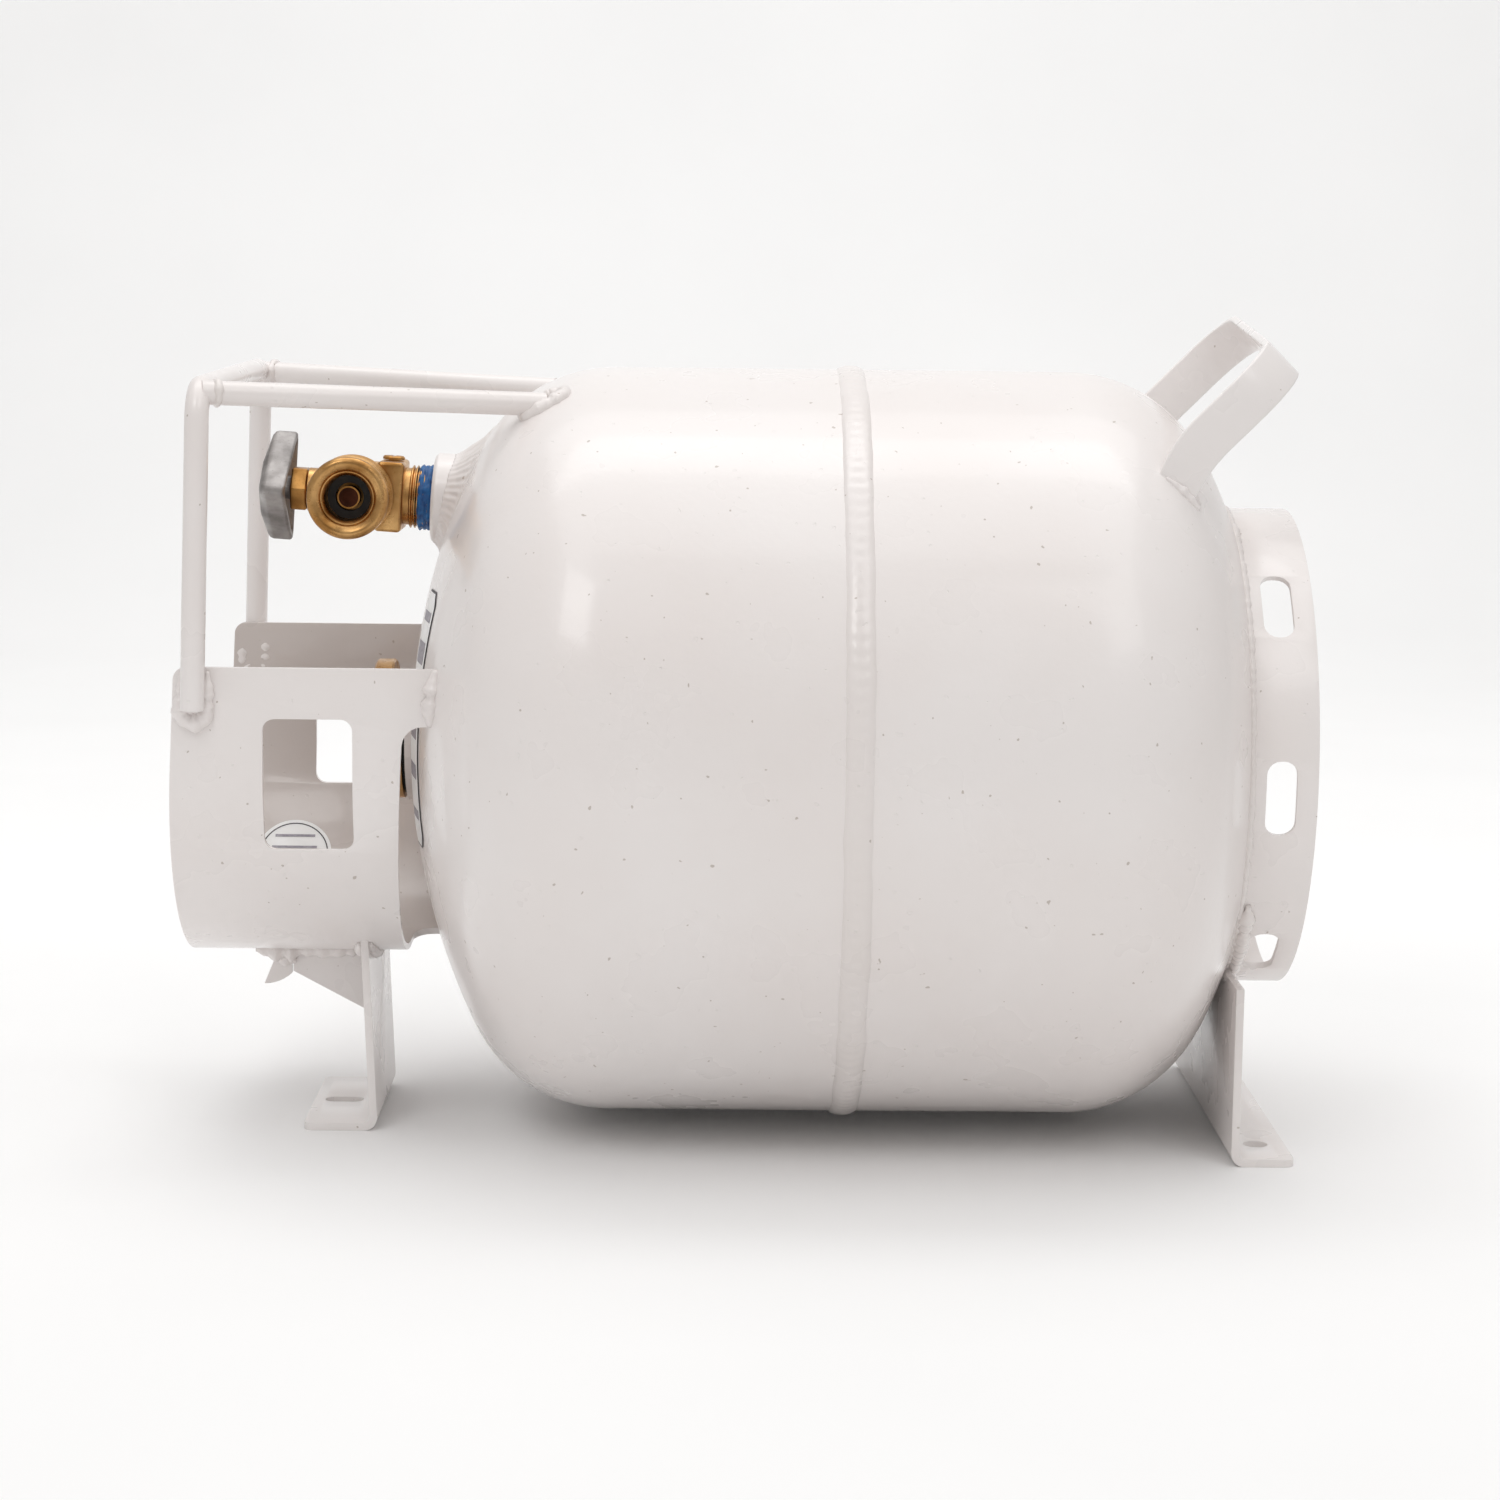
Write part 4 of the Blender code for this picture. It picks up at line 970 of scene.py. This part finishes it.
def handwheel():
    """The cast wheel: a rim hollow on the valve's side, a dome on the other, and a recess for the screw."""
    outline = wheel_outline()
    # Each layer is (scale, height, how round): from the hub's foot out under the rim and over the dome.
    layers = [
        (0.22, 0.0592, 1.0),
        (0.24, 0.0655, 1.0),
        (0.74, 0.0660, 0.0),
        (0.84, 0.0600, 0.0),
        (0.90, 0.0592, 0.0),
        (0.97, 0.0594, 0.0),
        (1.00, 0.0602, 0.0),
        (1.00, 0.0606, 0.0),
        (1.00, 0.0668, 0.0),
        (1.00, 0.0672, 0.0),
        (0.98, 0.0684, 0.0),
        (0.93, 0.0694, 0.1),
        (0.80, 0.0703, 0.3),
        (0.60, 0.0710, 0.6),
        (0.40, 0.0712, 1.0),
        (0.24, 0.0711, 1.0),
        (0.215, 0.0706, 1.0),
        (0.21, 0.0701, 1.0),
    ]

    def build(shape):
        rings = [[shape.verts.new(VALVE @ Vector((0.0, 0.0, WHEEL_FOOT)))]]
        for scale, height, roundness in layers:
            ring = []
            for x, y in outline:
                size = hypot(x, y)
                reach = scale * (size * (1 - roundness) + WHEEL_REACH * roundness) / size
                ring.append(shape.verts.new(VALVE @ Vector((x * reach, y * reach, height))))
            rings.append(ring)
        rings.append([shape.verts.new(VALVE @ Vector((0.0, 0.0, WHEEL_CROWN)))])
        for low, high in zip(rings, rings[1:]):
            join_rings(shape, low, high)

    def dress(obj):
        round_edges(obj, 0.0004, 3)

    piece("cast_handwheel", build, ZINC, "handwheel", ("handwheel",), dress, 40.0)


# The gauge


def gauge_case():
    window = 0.0200
    profile = [(window, 0.0148), (0.0206, 0.0153), (0.0220, 0.0153), (0.0226, 0.0147), (0.0226, 0.0122)]
    profile += [(0.0298, 0.0122), (0.0298, 0.0147), (0.0303, 0.0153), (0.0316, 0.0153), (0.0325, 0.0144)]
    profile += [(0.0325, 0.0080), (0.0318, 0.0072), (0.0262, 0.0070), (0.0260, 0.0031), (0.0042, 0.0031)]
    profile += [(0.0042, 0.0085), (window, 0.0085)]

    def build(shape):
        lathe(shape, profile, 128, GAUGE, loop=True)

    piece("gauge_case", build, BRASS, stands_for=("gauge_body",), sharp=28.0)


def dial_marks():
    """Eleven ticks over the needle's sweep, every fifth one long."""
    height = 0.00986

    def build(shape):
        for i in range(11):
            turn = Matrix.Rotation(radians(100 - 20 * i), 4, "Z")
            long = i % 5 == 0
            inner, outer, half = (0.0135 if long else 0.0155), 0.0180, (0.0005 if long else 0.0003)
            corners = ((inner, -half), (outer, -half), (outer, half), (inner, half))
            shape.faces.new([shape.verts.new(GAUGE @ (turn @ Vector((x, y, height)))) for x, y in corners])

    piece("dial_marks", build, INK)


# Labels


def head_patch(name, y0, y1, z0, z1, lift, look, corner=0.0):
    """A sheet laid on the valve-end head between two widths and two heights above the axis."""

    def point_at(row, column):
        z = z0 + (z1 - z0) * row
        inset = corner * max(0.0, 1 - min(z - z0, z1 - z) / corner) if corner else 0.0
        y = y0 + inset + (y1 - y0 - 2 * inset) * column
        depth = CROWN - sqrt(CROWN**2 - y * y - z * z)
        return Vector((VALVE_APEX_X + depth - lift, y, AXIS_Z + z))

    rows = 40 if corner else 8
    piece(name, lambda shape: surface(shape, rows, 12, point_at), look)


def dome_label():
    """A white label with a dark border and generic grey blocks beside the gauge."""
    y0, y1, z0, z1 = -0.0635, -0.0370, -0.0380, 0.0665
    head_patch("label_border", y0, y1, z0, z1, 0.00030, INK, 0.0050)
    head_patch("label_sheet", y0 + 0.0009, y1 - 0.0009, z0 + 0.0009, z1 - 0.0009, 0.00040, PAPER, 0.0046)
    # Each block is (place up the sheet, height).
    blocks = ((0.90, 0.004), (0.76, 0.009), (0.62, 0.006), (0.47, 0.009), (0.30, 0.006), (0.13, 0.004))
    for i, (share, tall) in enumerate(blocks):
        middle = z0 + (z1 - z0) * share
        low, high = middle - tall / 2, middle + tall / 2
        head_patch(f"label_block_{i + 1}", y0 + 0.004, y1 - 0.004, low, high, 0.00050, GREY_INK)


def collar_patch(name, x, turn, outer, inner, lift, look):
    """A disc or ring laid on the trough's inner wall."""
    radius = COLLAR_RADIUS - SHEET - lift

    def point_at(row, column):
        reach = inner + (outer - inner) * row
        angle = 2 * pi * column
        around = turn + reach * sin(angle) / radius
        return Vector((x + reach * cos(angle), radius * cos(around), COLLAR_Z + radius * sin(around)))

    piece(name, lambda shape: surface(shape, 6, 64, point_at), look)


def collar_sticker():
    """A round white sticker with a thin black circle and generic grey bars."""
    x, turn = -0.1958, radians(-43.4)
    collar_patch("sticker_sheet", x, turn, 0.0165, 0.0, 0.00030, PAPER)
    collar_patch("sticker_circle", x, turn, 0.0150, 0.0145, 0.00040, INK)
    for i in range(4):
        half = 0.0100 - 0.0012 * abs(i - 1)
        bar_patch(f"sticker_bar_{i + 1}", x, turn + radians(6.0 - 4.0 * i), half, 0.00040)


def bar_patch(name, x, turn, half, lift):
    radius = COLLAR_RADIUS - SHEET - lift

    def point_at(row, column):
        around = turn + radians(0.9) * (row - 0.5)
        return Vector((x + half * (2 * column - 1), radius * cos(around), COLLAR_Z + radius * sin(around)))

    piece(name, lambda shape: surface(shape, 2, 12, point_at), GREY_INK)


# The studio


def studio():
    """A pale sweep: a floor that curves up behind the tank, under a wide softbox."""
    bend = [(1.6 + 1.0 * sin(pi / 2 * i / 16), 1.0 - 1.0 * cos(pi / 2 * i / 16)) for i in range(17)]
    line = [(-3.0, 0.0)] + bend + [(2.6, 4.0)]
    shape = bmesh.new()
    strip(shape, [Vector((0.0, y, z)) for y, z in line], [5.0] * len(line), Vector((1.0, 0.0, 0.0)))
    floor = bpy.data.objects.new("floor", bpy.data.meshes.new("floor"))
    shape.to_mesh(floor.data)
    shape.free()
    floor.data.shade_smooth()
    bpy.context.scene.collection.objects.link(floor)
    floor.data.materials.append(plain("studio_floor", tone(250, 250, 250), tone(247, 247, 247), 0.9, 3.0))
    world = bpy.data.worlds.new("studio")
    world.use_nodes = True
    backdrop = world.node_tree.nodes["Background"]
    backdrop.inputs["Color"].default_value = (1.0, 0.985, 0.97, 1.0)
    backdrop.inputs["Strength"].default_value = 0.50
    bpy.context.scene.world = world
    softbox("top", (0.0, 0.1, 2.2), 2.4, 19.0)
    softbox("key", (-0.8, -1.5, 1.8), 0.8, 7.0)
    softbox("fill", (0.9, -1.5, 1.8), 1.0, 5.0)
    softbox("back", (0.0, 0.6, 2.6), 2.0, 20.0, Vector((0.0, 2.6, 1.2)))
    bpy.context.scene.view_settings.view_transform = "Standard"


def softbox(name, at, size, power, towards=Vector((0.0, 0.0, AXIS_Z))):
    data = bpy.data.lights.new(name, "AREA")
    data.size = size
    data.energy = power
    light = bpy.data.objects.new(name, data)
    light.location = at
    light.rotation_euler = (towards - Vector(at)).to_track_quat("-Z", "Y").to_euler()
    bpy.context.scene.collection.objects.link(light)


def camera():
    """A camera level with the top of the tank, a little left of its middle, as far off as the photo's."""
    pitch, yaw, roll = 0.1429, 0.0123, 0.0120
    forward = Vector((sin(yaw) * cos(pitch), cos(yaw) * cos(pitch), -sin(pitch)))
    right = Vector((cos(yaw), -sin(yaw), 0.0))
    up = right.cross(forward)
    across = right * cos(roll) + up * sin(roll)
    above = up * cos(roll) - right * sin(roll)
    data = bpy.data.cameras.new("camera")
    data.sensor_width = 36.0
    data.lens = 78.884
    made = bpy.data.objects.new("camera", data)
    made.matrix_world = Matrix((across, above, -forward)).transposed().to_4x4()
    made.location = (-0.0121, -1.3753, 0.3541)
    bpy.context.scene.collection.objects.link(made)
    bpy.context.scene.camera = made


finish_frame()
tank_shells()
girth_bead()
guard_collar()
guard_bars()
hoop_foot_welds()
collar_welds()
foot_ring()
feet()
foot_welds()
strap_handle()
boss_and_weld()
valve_casting()
sealant_ring()
handwheel()
gauge_case()
dial_marks()
dome_label()
collar_sticker()
studio()
camera()
